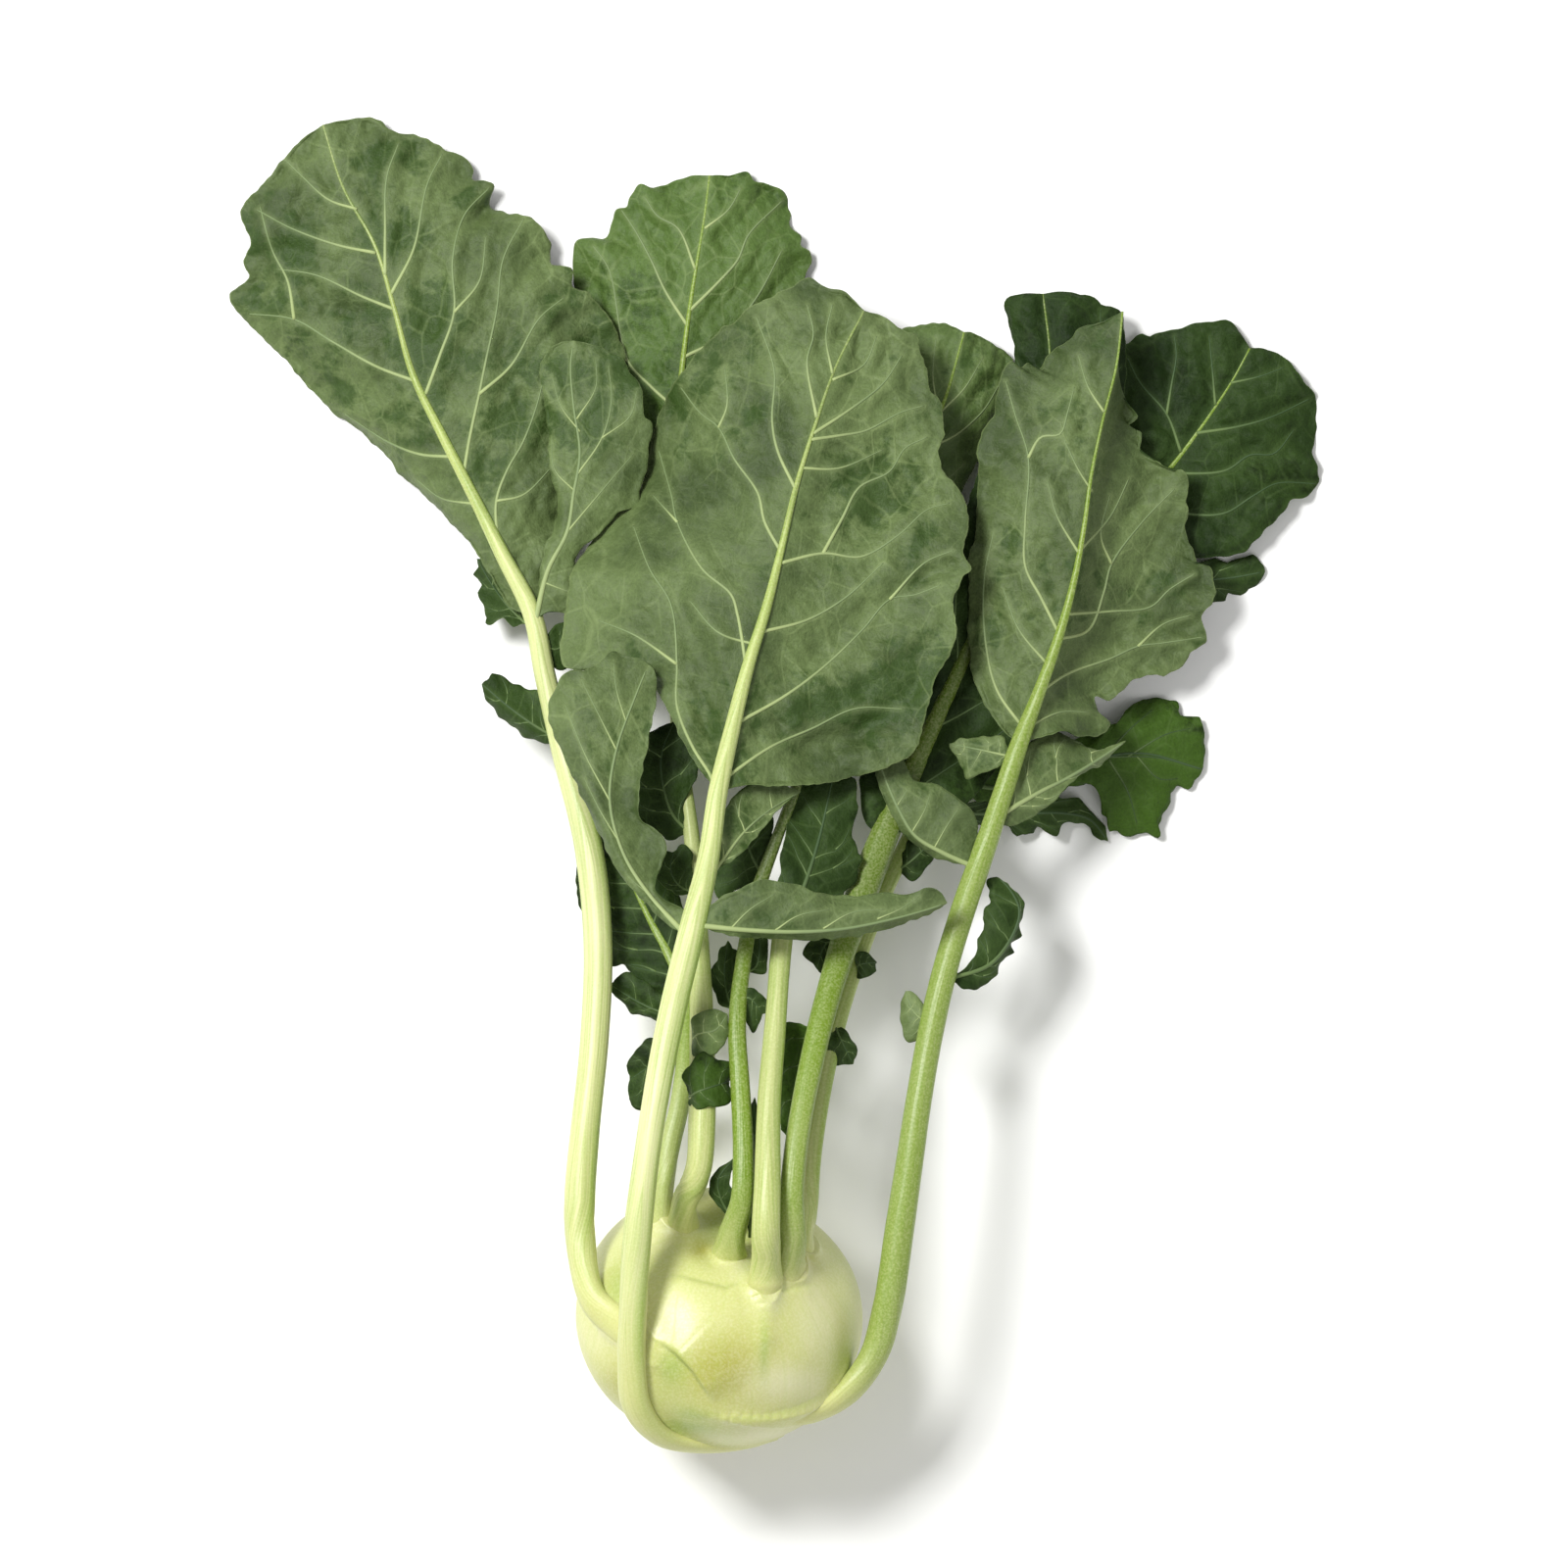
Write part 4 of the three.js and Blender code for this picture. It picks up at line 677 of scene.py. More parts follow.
class Blade:
    """The middle sheet of a blade: a grid of points, rows along the rib and columns across."""

    def __init__(self, shape, along, across, sunk, tooth_spacing, tooth_depth, ruffle, seed):
        self.face = shape["face"]
        self.seed = seed
        rib = curve(shape["rib"], along)[0].copy()
        share = np.linspace(0, 1, along)
        rib[:, 2] -= self.face * sunk(share)
        bend = shape.get("bend", (EDGE_DROOP, EDGE_DROOP))
        fade = np.clip(np.sin(math.pi * share) * 4, 0, 1)
        halves = []
        for side, sign, swell, droop in zip(("left", "right"), (-1, 1), shape.get("cup", (0, 0)), bend):
            outline, heights = shape[side]
            ends = [tuple(rib[0, :2])] + list(outline) + [tuple(rib[-1, :2])]
            detail, length = curve([(x, y, 0) for x, y in ends], along)
            arc = share * length
            heights = [rib[0, 2]] + list(heights) + [rib[-1, 2]]
            height = np.interp(share, np.linspace(0, 1, len(heights)), heights)
            soft = smoothed(detail, max(along // 14, 1))
            heading = np.gradient(soft[:, :2], axis=0)
            heading /= np.linalg.norm(heading, axis=1)[:, None] + 1e-9
            outward = np.stack([heading[:, 1], -heading[:, 0]], axis=1) * sign
            bite = teeth(arc, seed + sign, tooth_spacing, tooth_depth) * fade
            detail[:, :2] += outward * bite[:, None]
            broad, fine = rolling(arc, arc * 0, 26, seed + 2 * sign), rolling(arc, arc * 0, 10, seed)
            wave = ruffle * fade * (broad + 0.45 * fine)
            reach = np.linspace(0, 1, across)[None, :, None] ** 0.85
            points = rib[:, None, :] * (1 - reach) + soft[:, None, :] * reach
            points += (detail - soft)[:, None, :] * reach**5
            r = reach[..., 0]
            points[..., 2] = (rib[:, 2:3] * (1 - r**droop) + height[:, None] * r**droop
                              + swell * np.sin(math.pi * r) * np.sin(math.pi * share)[:, None]
                              + wave[:, None] * r**2.5)
            halves.append(points)
        self.grid = np.concatenate([halves[0][:, :0:-1], halves[1]], axis=1)
        self.reach = np.abs(np.linspace(-1, 1, self.grid.shape[1]))[None, :] * np.ones((along, 1))
        self.rib = rib

    def at(self, share, across):
        """The point at a share of the way along and from -1 to 1 across."""
        rows, columns = self.grid.shape[:2]
        i = min(max(share, 0), 1) * (rows - 1)
        j = (min(max(across, -1), 1) + 1) / 2 * (columns - 1)
        return self.grid[round(i), round(j)]

    def regular_veins(self, pairs):
        """Side veins that leave the rib in pairs and bend towards the tip, most of them forked."""
        rng = np.random.default_rng(self.seed)
        veins = []
        for k in range(pairs):
            for sign in (-1, 1):
                start = 0.04 + 0.82 * (k + rng.uniform(0, 0.6)) / pairs
                climb = rng.uniform(0.14, 0.24) * (1.1 - start)
                veins.append([self.at(start + climb * q**0.8, sign * q)[:2]
                              for q in (0, 0.2, 0.4, 0.65, 0.93)])
                if rng.uniform() < 0.7:
                    veins.append([self.at(start + climb * 0.5 + step, sign * q)[:2]
                                  for q, step in ((0.42, 0), (0.62, 0.05), (0.9, 0.12))])
        return [[tuple(p) for p in vein] for vein in veins]

    def settle(self, veins, folds, relief):
        """Sinks the sheet between its veins, folds it along the given lines and crumples it a
        little, and notes how near each point is to a vein."""
        lines = [curve([(x, y, 0) for x, y in vein], 60)[0] for vein in veins]
        tree = KDTree(sum(len(line) for line in lines) + len(self.rib))
        for k, point in enumerate(np.vstack(lines + [self.rib])):
            tree.insert((point[0], point[1], 0), k)
        tree.balance()
        x, y = self.grid[..., 0], self.grid[..., 1]
        gap = np.array([tree.find((u, v, 0))[2] for u, v in zip(x.ravel(), y.ravel())]).reshape(x.shape)
        self.near_vein = np.exp(-((gap / 0.9) ** 2))
        hollow = relief * (1 - np.exp(-((gap / 4.5) ** 2)))
        crumple = 0.55 * rolling(x, y, 26, self.seed) * self.reach + 0.3 * rolling(x, y, 11, self.seed + 1)
        crumple += 0.16 * rolling(x, y, 5, self.seed + 2)
        rise = -self.face * hollow + relief * crumple * np.clip(gap / 3, 0, 1)
        for line, height, width in folds:
            across, along = near_line(np.stack([x.ravel(), y.ravel()], axis=1), line)
            ends = np.clip(np.sin(math.pi * np.clip(along, 0, 1)) * 2, 0, 1)
            ridge = height * np.exp(-((across / width) ** 2)) * ends
            rise += ridge.reshape(x.shape)
        inside = np.clip((1 - self.reach) * 9, 0.45, 1) * np.clip(self.reach * 9, 0, 1)
        self.grid[..., 2] += rise * inside
        self.lines = lines

    def normals(self):
        along = np.gradient(self.grid, axis=0)
        across = np.gradient(self.grid, axis=1)
        normal = np.cross(across, along)
        length = np.linalg.norm(normal, axis=2, keepdims=True)
        normal = np.where(length > 1e-6, normal / np.maximum(length, 1e-6), [0, 0, 1.0])
        return normal

    def mesh(self, name, thickness, fresh):
        """The blade as a closed sheet, its underside and its upper side in their own materials."""
        rows, columns = self.grid.shape[:2]
        taper = np.clip((1 - self.reach) * 12, 0.4, 1)[..., None]
        offset = self.normals() * (thickness / 2 * taper)
        upper = self.grid + offset
        lower = self.grid - offset
        lift = np.maximum(0.02 - lower[..., 2], 0)
        upper[..., 2] += lift
        lower[..., 2] += lift
        count = rows * columns
        vertices = np.vstack([upper.reshape(-1, 3), lower.reshape(-1, 3)])
        self.top_faces = grid_faces(rows, columns)
        bottom = grid_faces(rows, columns, first=count, flip=True)
        edge = []
        for column, flip in ((0, False), (columns - 1, True)):
            for i in range(rows - 1):
                a, b = i * columns + column, (i + 1) * columns + column
                quad = (a, b, b + count, a + count)
                edge.append(quad[::-1] if flip else quad)
        faces = self.top_faces + bottom + edge
        looks_up = 0 if self.face > 0 else 1
        face_material = [looks_up] * len(self.top_faces) + [1 - looks_up] * (len(bottom) + len(edge))
        self.top = upper.reshape(-1, 3)
        fields = {
            "near_vein": np.tile(self.near_vein.ravel(), 2),
            "reach": np.tile(self.reach.ravel(), 2),
            "fresh": np.full(2 * count, fresh),
            # dark patches of worn-off bloom, with painted shade in folds at some listed places
            "rubbed_and_shaded": np.tile(cloud(self.grid.reshape(-1, 3), [patch + (1,) for patch in RUBBED_AND_SHADED]), 2),
        }
        piece = mesh_object(name, vertices, faces, [UNDERSIDE, TOPSIDE], face_material, fields)
        tidy(piece)
        return piece

    def vein_tubes(self, name, width, material):
        """The veins as ridges lying on the sheet, widest and palest where they leave the rib."""
        surface = BVHTree.FromPolygons(self.top.tolist(), self.top_faces)
        vertices, faces, along, count = [], [], [], 0
        for line in self.lines:
            hits = [surface.ray_cast(Vector((x, y, ABOVE_THE_PLANT)), Vector((0, 0, -1)))[0]
                    for x, y in line[:, :2]]
            points = [tuple(hit) for hit in hits if hit is not None]
            if len(points) < 8:
                continue
            length = lengths_along(np.array(points))[-1]
            path, _ = curve(points, max(int(length / 1.3), 8))
            share = np.linspace(0, 1, len(path))
            half = width / 2 * min(1, 0.55 + length / 90) * (1 - 0.72 * share**0.8)
            path[:, 2] += 0.05
            rings, _ = swept(path, lambda p: np.array([0, 0, 1.0]), lambda k, a: (half[k], 0.8 * half[k]),
                             VEIN_SIDES)
            tube, tube_faces = tube_mesh(rings)
            faces += [tuple(i + count for i in face) for face in tube_faces]
            count += len(tube)
            vertices.append(tube)
            along += [np.repeat(share, VEIN_SIDES), [0, 1]]
        if not vertices:
            return None
        return mesh_object(name, np.vstack(vertices), faces, [material],
                           fields={"along_vein": np.concatenate(along)})


def tidy(piece):
    """Joins the points that fall together at a blade's base and tip."""
    edit = bmesh.new()
    edit.from_mesh(piece.data)
    bmesh.ops.remove_doubles(edit, verts=edit.verts, dist=2e-6)
    bmesh.ops.dissolve_degenerate(edit, edges=edit.edges, dist=1e-7)
    edit.to_mesh(piece.data)
    edit.free()


# ---------------------------------------------------------------- materials


def linear(hex_colour):
    """An sRGB hex colour as linear light, with alpha."""
    channels = [int(hex_colour[i:i + 2], 16) / 255 for i in (1, 3, 5)]
    return tuple(c / 12.92 if c <= 0.04045 else ((c + 0.055) / 1.055) ** 2.4 for c in channels) + (1.0,)


def add(tree, kind, out=0, stops=(), settings=None, **inputs):
    """Adds a shader node and gives its output out. inputs names sockets, spaces as underscores and
    numbers after an n, and gives each a value, a hex colour or another node's output."""
    node = tree.nodes.new("ShaderNode" + kind)
    for key, value in (settings or {}).items():
        setattr(node, key, value)
    for _ in stops[2:]:
        node.color_ramp.elements.new(0.5)
    for element, (place, colour) in zip(node.color_ramp.elements if stops else (), stops):
        element.position = place
        element.color = linear(colour) if isinstance(colour, str) else (colour, colour, colour, 1)
    for key, value in inputs.items():
        socket = node.inputs[int(key[1:]) if key[1:].isdigit() else key.replace("_", " ")]
        if isinstance(value, bpy.types.NodeSocket):
            tree.links.new(value, socket)
        else:
            socket.default_value = linear(value) if isinstance(value, str) else value
    return node.outputs[out] if node.outputs else node


ADD, TIMES, LARGER = ({"operation": name} for name in ("ADD", "MULTIPLY", "MAXIMUM"))
COLOUR, OVERLAY = ({"data_type": "RGBA", "blend_type": name} for name in ("MIX", "OVERLAY"))


def material_tree(name):
    material = bpy.data.materials.new(name)
    material.use_nodes = True
    material.node_tree.nodes.clear()
    return material, material.node_tree


def spot(tree, *scale):
    """Where a point is on the object, in units of scale millimetres along each axis."""
    grow = tuple(1 / (MM * s) for s in (scale * 3 if len(scale) == 1 else scale))
    return add(tree, "Mapping", Vector=add(tree, "TexCoord", "Object"), Scale=grow)


def fibres(tree, long, wide):
    """Where a point is on a skin, in units of long mm along its fibres and wide mm across them."""
    uv = add(tree, "UVMap", settings={"uv_map": "along_and_around"})
    return add(tree, "Mapping", Vector=uv, Scale=(1 / long, 1 / wide, 1))


def finish(tree, **sockets):
    add(tree, "OutputMaterial", Surface=add(tree, "BsdfPrincipled", **sockets))


def vein_net(tree, cell, line):
    """The net of small veins: 1 on a vein and 0 between. cell is a mesh's width in millimetres,
    and line a vein's."""
    wander = add(tree, "TexNoise", "Color", Vector=spot(tree, cell * 1.6), Scale=1.0, Detail=1.0)
    wander = add(tree, "VectorMath", n0=wander, n1=(0.5, 0.5, 0.5), settings={"operation": "SUBTRACT"})
    wander = add(tree, "VectorMath", n0=wander, Scale=0.45, settings={"operation": "SCALE"})
    flat = spot(tree, cell, cell * 1.3, cell * 40)
    where = add(tree, "VectorMath", n0=flat, n1=wander, settings=ADD)
    between = add(tree, "TexVoronoi", "Distance", Vector=where, Scale=1.0,
                  settings={"feature": "DISTANCE_TO_EDGE"})
    drawn = add(tree, "ValToRGB", Fac=between, stops=((0.35 * line / cell, 1.0), (1.4 * line / cell, 0.0)))
    worn = add(tree, "TexNoise", Vector=spot(tree, cell * 3), Scale=1.0, Detail=2.0)
    fading = add(tree, "ValToRGB", Fac=worn, stops=((0.38, 0.1), (0.62, 1.0)))
    return add(tree, "Math", n0=drawn, n1=fading, settings=TIMES)


def leaf_side(name, deep, light, worn, vein, net_strength, roughness, gloss):
    """One side of a leaf: two greens that drift into each other, dark patches where the waxy bloom is worn
    off, some of them painted shade in the blade's folds, a net of paler veins that stand a little proud, and
    a fine grain."""
    material, tree = material_tree(name)
    field = {key: add(tree, "Attribute", "Fac", settings={"attribute_name": key})
             for key in ("fresh", "rubbed_and_shaded", "near_vein", "reach")}
    drift = add(tree, "TexNoise", Vector=spot(tree, 34), Scale=1.0, Detail=5.0, Roughness=0.6)
    base = add(tree, "ValToRGB", Fac=drift, stops=((0.36, deep), (0.58, light)))
    fresh = add(tree, "Mix", 2, settings=COLOUR, n0=0.65, n6=base, n7="#42601A")
    wide = add(tree, "TexNoise", Vector=spot(tree, 46), Scale=1.0, Detail=2.0)
    patches = add(tree, "TexNoise", Vector=spot(tree, 9), Scale=1.0, Detail=6.0, Roughness=0.65)
    # dark patches: worn-off bloom at random, and at the listed places partly painted shade in folds
    rubbed_and_shaded = add(tree, "Mix", n0=0.5, n2=wide, n3=patches)
    known = add(tree, "Math", n0=field["rubbed_and_shaded"], n1=0.13, settings=TIMES)
    rubbed_and_shaded = add(tree, "Math", n0=rubbed_and_shaded, n1=known, settings=ADD)
    rubbed_and_shaded = add(tree, "ValToRGB", Fac=rubbed_and_shaded, stops=((0.55, 0.0), (0.61, 0.8)))
    grain = add(tree, "TexNoise", Vector=spot(tree, 0.9), Scale=1.0, Detail=3.0, Roughness=0.65)
    grey = add(tree, "ValToRGB", Fac=grain, stops=((0.3, 0.36), (0.7, 0.64)))
    fine = add(tree, "Math", n0=vein_net(tree, 3.4, 0.2), n1=0.35, settings=TIMES)
    net = add(tree, "Math", n0=vein_net(tree, 11, 0.32), n1=fine, settings=LARGER)
    drawn = add(tree, "Math", n0=net, n1=net_strength, settings=TIMES)
    beside = add(tree, "Math", n0=field["near_vein"], n1=0.25, settings=TIMES)
    margin = add(tree, "ValToRGB", Fac=field["reach"], stops=((0.985, 0.0), (0.998, 0.4)))
    # the worn colour darkens the worn-off bloom and the painted shade in folds
    layers = ((COLOUR, field["fresh"], fresh), (COLOUR, rubbed_and_shaded, worn), (OVERLAY, 0.5, grey),
              (COLOUR, drawn, vein), (COLOUR, beside, vein), (COLOUR, margin, vein))
    for blend, share, colour in layers:
        base = add(tree, "Mix", 2, settings=blend, n0=share, n6=base, n7=colour)
    lift = add(tree, "Bump", Height=net, Distance=0.12 * MM, Strength=0.6)
    pucker = add(tree, "TexNoise", Vector=spot(tree, 3.4), Scale=1.0, Detail=5.0, Roughness=0.6)
    lift = add(tree, "Bump", Height=pucker, Distance=1.0 * MM, Strength=0.8, Normal=lift)
    lift = add(tree, "Bump", Height=grain, Distance=0.22 * MM, Strength=0.6, Normal=lift)
    uneven = add(tree, "Mix", n0=0.5, n2=grain, n3=patches)
    rough = add(tree, "ValToRGB", Fac=uneven, stops=((0.3, roughness - 0.08), (0.7, roughness + 0.08)))
    finish(tree, Base_Color=base, Roughness=rough, Normal=lift, Specular_IOR_Level=gloss)
    return material


def stalk_skin():
    """Waxy stalk: cream near the bulb, greener towards and along the blade, with fine long streaks, one
    greener flank and pale specks; the crown stalks turn a darker green further up, partly painted shade where
    they run under the leaves."""
    material, tree = material_tree("stalk_skin")
    field = {key: add(tree, "Attribute", "Fac", settings={"attribute_name": key})
             for key in ("up_the_stalk", "flank", "fresh", "foot")}
    streak = add(tree, "TexNoise", Vector=fibres(tree, 60, 0.8), Scale=1.0, Detail=4.0)
    flow = add(tree, "TexNoise", Vector=fibres(tree, 40, 3.5), Scale=1.0, Detail=3.0)
    base = add(tree, "ValToRGB", Fac=field["up_the_stalk"], stops=(
        (0.0, "#C8CB84"), (0.12, "#CDCF90"), (0.3, "#D2D59C"), (0.48, "#CBD190"), (0.7, "#A3B260"),
        (1.0, "#7A8C4C")))
    green = add(tree, "ValToRGB", Fac=field["up_the_stalk"], stops=(
        (0.0, "#92AA40"), (0.3, "#84A62C"), (0.5, "#7C9A30"), (1.0, "#56702E")))
    streaks = add(tree, "Mix", n0=0.45, n2=streak, n3=flow)
    streaks = add(tree, "ValToRGB", Fac=streaks, stops=((0.45, 0.0), (0.62, 0.55)))
    # greener, and high up the crown stalks a darker green that is partly painted shade
    greener_and_shaded = add(tree, "Math", n0=field["fresh"], n1=0.6, settings=TIMES)
    greener_and_shaded = add(tree, "ValToRGB", Fac=greener_and_shaded, stops=((0.6, "#6C8818"), (0.9, "#4E6418")))
    fleck = add(tree, "TexNoise", Vector=spot(tree, 0.7), Scale=1.0, Detail=2.0)
    fleck = add(tree, "ValToRGB", Fac=fleck, stops=((0.4, 0.0), (0.72, 0.2)))
    for share, colour in ((streaks, green), (field["flank"], green), (field["fresh"], greener_and_shaded),
                          (field["foot"], "#C6C880"), (fleck, "#E4E6B4")):
        base = add(tree, "Mix", 2, settings=COLOUR, n0=share, n6=base, n7=colour)
    lift = add(tree, "Bump", Height=streak, Distance=0.35 * MM, Strength=0.6)
    finish(tree, Base_Color=base, Roughness=0.42, Normal=lift, Specular_IOR_Level=0.4,
           Subsurface_Weight=0.15, Subsurface_Radius=(0.5, 0.8, 0.25), Subsurface_Scale=2 * MM,
           Coat_Weight=0.06, Coat_Roughness=0.3)
    return material


def vein_skin(name, root, tip):
    """A raised vein: pale where it leaves the rib and as green as the leaf at its end."""
    material, tree = material_tree(name)
    along = add(tree, "Attribute", "Fac", settings={"attribute_name": "along_vein"})
    wander = add(tree, "TexNoise", Vector=spot(tree, 7), Scale=1.0, Detail=2.0)
    along = add(tree, "Math", n0=along, n1=add(tree, "Math", n0=wander, n1=0.4, settings=TIMES), settings=ADD)
    base = add(tree, "ValToRGB", Fac=along, stops=((0.15, root), (0.8, tip)))
    grain = add(tree, "TexNoise", Vector=spot(tree, 0.7), Scale=1.0, Detail=2.0)
    lift = add(tree, "Bump", Height=grain, Distance=0.1 * MM, Strength=0.4)
    finish(tree, Base_Color=base, Roughness=0.55, Normal=lift, Specular_IOR_Level=0.3)
    return material


def bulb_skin():
    """The bulb's waxy skin: pale green with yellower, whiter and greener clouds, the whiter ones partly a
    painted highlight and the greener ones partly painted shade, fine streaks from pole to pole, darker lines
    at the leaf scars, a soft gloss and light scattered under the skin."""
    material, tree = material_tree("bulb_skin")
    field = {key: add(tree, "Attribute", "Fac", settings={"attribute_name": key})
             for key in ("yellow", "pale", "green", "scar")}
    drift = add(tree, "TexNoise", Vector=spot(tree, 26), Scale=1.0, Detail=3.0)
    base = add(tree, "ValToRGB", Fac=drift, stops=((0.3, "#BDC278"), (0.55, "#C7C981"), (0.75, "#D0D096")))
    fibre = add(tree, "TexNoise", Vector=fibres(tree, 60, 1.6), Scale=1.0, Detail=4.0)
    fibre = add(tree, "ValToRGB", Fac=fibre, stops=((0.42, 0.0), (0.7, 0.2)))
    fleck = add(tree, "TexNoise", Vector=spot(tree, 0.8), Scale=1.0, Detail=2.0)
    fleck = add(tree, "ValToRGB", Fac=fleck, stops=((0.4, 0.0), (0.7, 0.16)))
    # the pale field is partly a painted highlight, and the green field partly painted shade
    for share, colour in ((field["yellow"], "#99962A"), (field["pale"], "#D8D6AC"),
                          (field["green"], "#8AA440"), (fibre, "#AFC05A"), (fleck, "#F1F0D0"),
                          (field["scar"], "#8FA544")):
        base = add(tree, "Mix", 2, settings=COLOUR, n0=share, n6=base, n7=colour)
    fine = add(tree, "TexNoise", Vector=spot(tree, 1.1), Scale=1.0, Detail=3.0)
    lift = add(tree, "Bump", Height=fine, Distance=0.08 * MM, Strength=0.5)
    swell = add(tree, "TexNoise", Vector=spot(tree, 9), Scale=1.0, Detail=3.0)
    lift = add(tree, "Bump", Height=swell, Distance=0.6 * MM, Strength=0.35, Normal=lift)
    finish(tree, Base_Color=base, Roughness=0.4, Normal=lift, Specular_IOR_Level=0.45,
           Subsurface_Weight=0.2, Subsurface_Radius=(0.6, 0.8, 0.25), Subsurface_Scale=4 * MM,
           Coat_Weight=0.1, Coat_Roughness=0.32)
    return material


def root_wood():
    """The cut end of the root: dry, fibrous and brown at its rim."""
    material, tree = material_tree("root_wood")
    fibre = add(tree, "TexNoise", Vector=spot(tree, 1.2, 1.2, 6), Scale=1.0, Detail=5.0, Roughness=0.7)
    base = add(tree, "ValToRGB", Fac=fibre, stops=((0.3, "#8C7A4E"), (0.6, "#C9B98A"), (0.8, "#DDD2A8")))
    finish(tree, Base_Color=base, Roughness=0.8, Specular_IOR_Level=0.3,
           Normal=add(tree, "Bump", Height=fibre, Distance=0.5 * MM, Strength=0.8))
    return material


UNDERSIDE = leaf_side("leaf_underside", "#3A4A24", "#5B6C3E", "#2A420F", "#8B9C66", 0.22, 0.56, 0.28)
TOPSIDE = leaf_side("leaf_topside", "#192A0C", "#2E421A", "#152307", "#566C3C", 0.22, 0.55, 0.12)
STALK = stalk_skin()
VEINS = {1: vein_skin("underside_veins", "#A2B076", "#74865A"),
         -1: vein_skin("topside_veins", "#6A7F4A", "#3C5230")}  # by the side that looks up
BULB = bulb_skin()
ROOT = root_wood()

# ---------------------------------------------------------------- making the plant


def make_stalk(name, leaf):
    """The stalk and the rib that it runs on into, as one piece."""
    stalk = np.array(leaf["stalk"], float)
    if name in CROWN_LEAVES:
        inside = stalk[0] + 0.7 * (stalk[0] - stalk[1])
        stalk = np.vstack([inside[None, :], stalk])
        stalk[0, 3] = stalk[1, 3]
    width = stalk[-1, 3]
    rib, _ = curve(leaf["rib"], 9)
    narrowing = (1 - np.linspace(0, 1, len(rib))) ** leaf.get("taper", RIB_TAPER)
    rib_width = RIB_TIP_WIDTH + (0.9 * width - RIB_TIP_WIDTH) * narrowing
    through = np.vstack([stalk, np.column_stack([rib, rib_width])])
    path, length = curve(through, int(curve(through, 50)[1] / 1.6))
    arc = lengths_along(path)
    to_blade = curve(through[: len(stalk) + 1], 60)[1]
    up = np.where(arc < to_blade, 0.5 * arc / to_blade, 0.5 + 0.5 * (arc - to_blade) / (length - to_blade))
    seed = sum(map(ord, name))
    half = path[:, 3] / 2 * (1.04 + 0.03 * rolling(arc, arc * 0, 60, seed))
    above = [np.linalg.norm(v) - outline_radius(np.arccos(v @ STEM_AXIS / np.linalg.norm(v)))
             for v in path[:, :3] - BULB_CENTRE]
    foot = np.exp(-np.maximum(np.array(above) - 1.5, 0) / 3)
    half *= 1 + (0.2 if name in CROWN_LEAVES else 0.0) * foot
    on_bulb = np.array([np.clip((ON_BULB - np.linalg.norm(p - BULB_CENTRE)) / 8, 0, 1)
                        for p in path[:, :3]])
    flat = 0.4 if name not in CROWN_LEAVES else 0.1

    def section(k, angles):
        ribs = 0.022 * np.cos(5 * angles + 0.4) + 0.014 * np.cos(9 * angles + 0.1 * seed)
        ribbed = 1 + (1 - foot[k]) * ribs
        turned = (angles + (0 if leaf["face"] > 0 else math.pi)) % (2 * math.pi) - math.pi
        grooved = 1 - 0.14 * np.exp(-((turned / 0.5) ** 2))
        return half[k] * ribbed * grooved, half[k] * (1 - flat * on_bulb[k]) * ribbed * grooved

    rings, angles = swept(path, away_from_bulb, section, STALK_SIDES)
    vertices, faces = tube_mesh(rings)
    around = np.tile(angles, len(path))
    along = np.repeat(arc, len(angles))
    uv = np.column_stack([along, np.abs(math.pi - around) * np.repeat(half, len(angles))])
    patchy = np.clip(0.65 + 0.45 * rolling(along, along * 0, 70, seed), 0.2, 1)
    flank = np.exp(-(((around - 1.1) / 0.45) ** 2)) * patchy
    flank = np.maximum(flank, 0.6 * np.exp(-(((around - 2 * math.pi + 1.4) / 0.2) ** 2)) * (1 - patchy))
    fresh = leaf.get("fresh_stalk", 0.0) * np.clip(up * 8, 0.2, 1)
    # crown stalks darken further up: painted shade where they run under the leaves
    if name in CROWN_LEAVES:
        fresh = fresh + 0.5 * np.clip((up - 0.2) / 0.25, 0, 1)
    fields = {"up_the_stalk": np.repeat(up, len(angles)), "flank": 0.9 * flank,
              "fresh": np.repeat(fresh, len(angles)), "foot": np.repeat(foot, len(angles))}
    fields = {key: np.append(values, [values[0], values[-1]]) for key, values in fields.items()}
    piece = mesh_object(f"stalk_of_{name}_leaf", vertices, faces, [STALK], fields=fields,
                        uv=np.vstack([uv, uv[0], uv[-1]]) + seed)
    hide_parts(f"stalk_{name}")
    return path


def make_blade(name, leaf, replaced):
    """A leaf's blade and its side veins."""
    large = name in LARGE_BLADES
    width = leaf["stalk"][-1][3] / 2
    along, across = (260, 50) if large else (150, 32)
    taper = leaf.get("taper", RIB_TAPER)
    blade = Blade(leaf, along, across, lambda s: RIB_SUNK * width * (1 - s) ** taper,
                  *TEETH["blade"], BLADE_RUFFLE, seed=sum(map(ord, name)))
    blade.settle(leaf.get("veins") or blade.regular_veins(6), leaf.get("folds", []), BLADE_RELIEF)
    finish_blade(blade, f"{name}_leaf", leaf, replaced, BLADE_THICKNESS, 1.25 if large else 0.9)


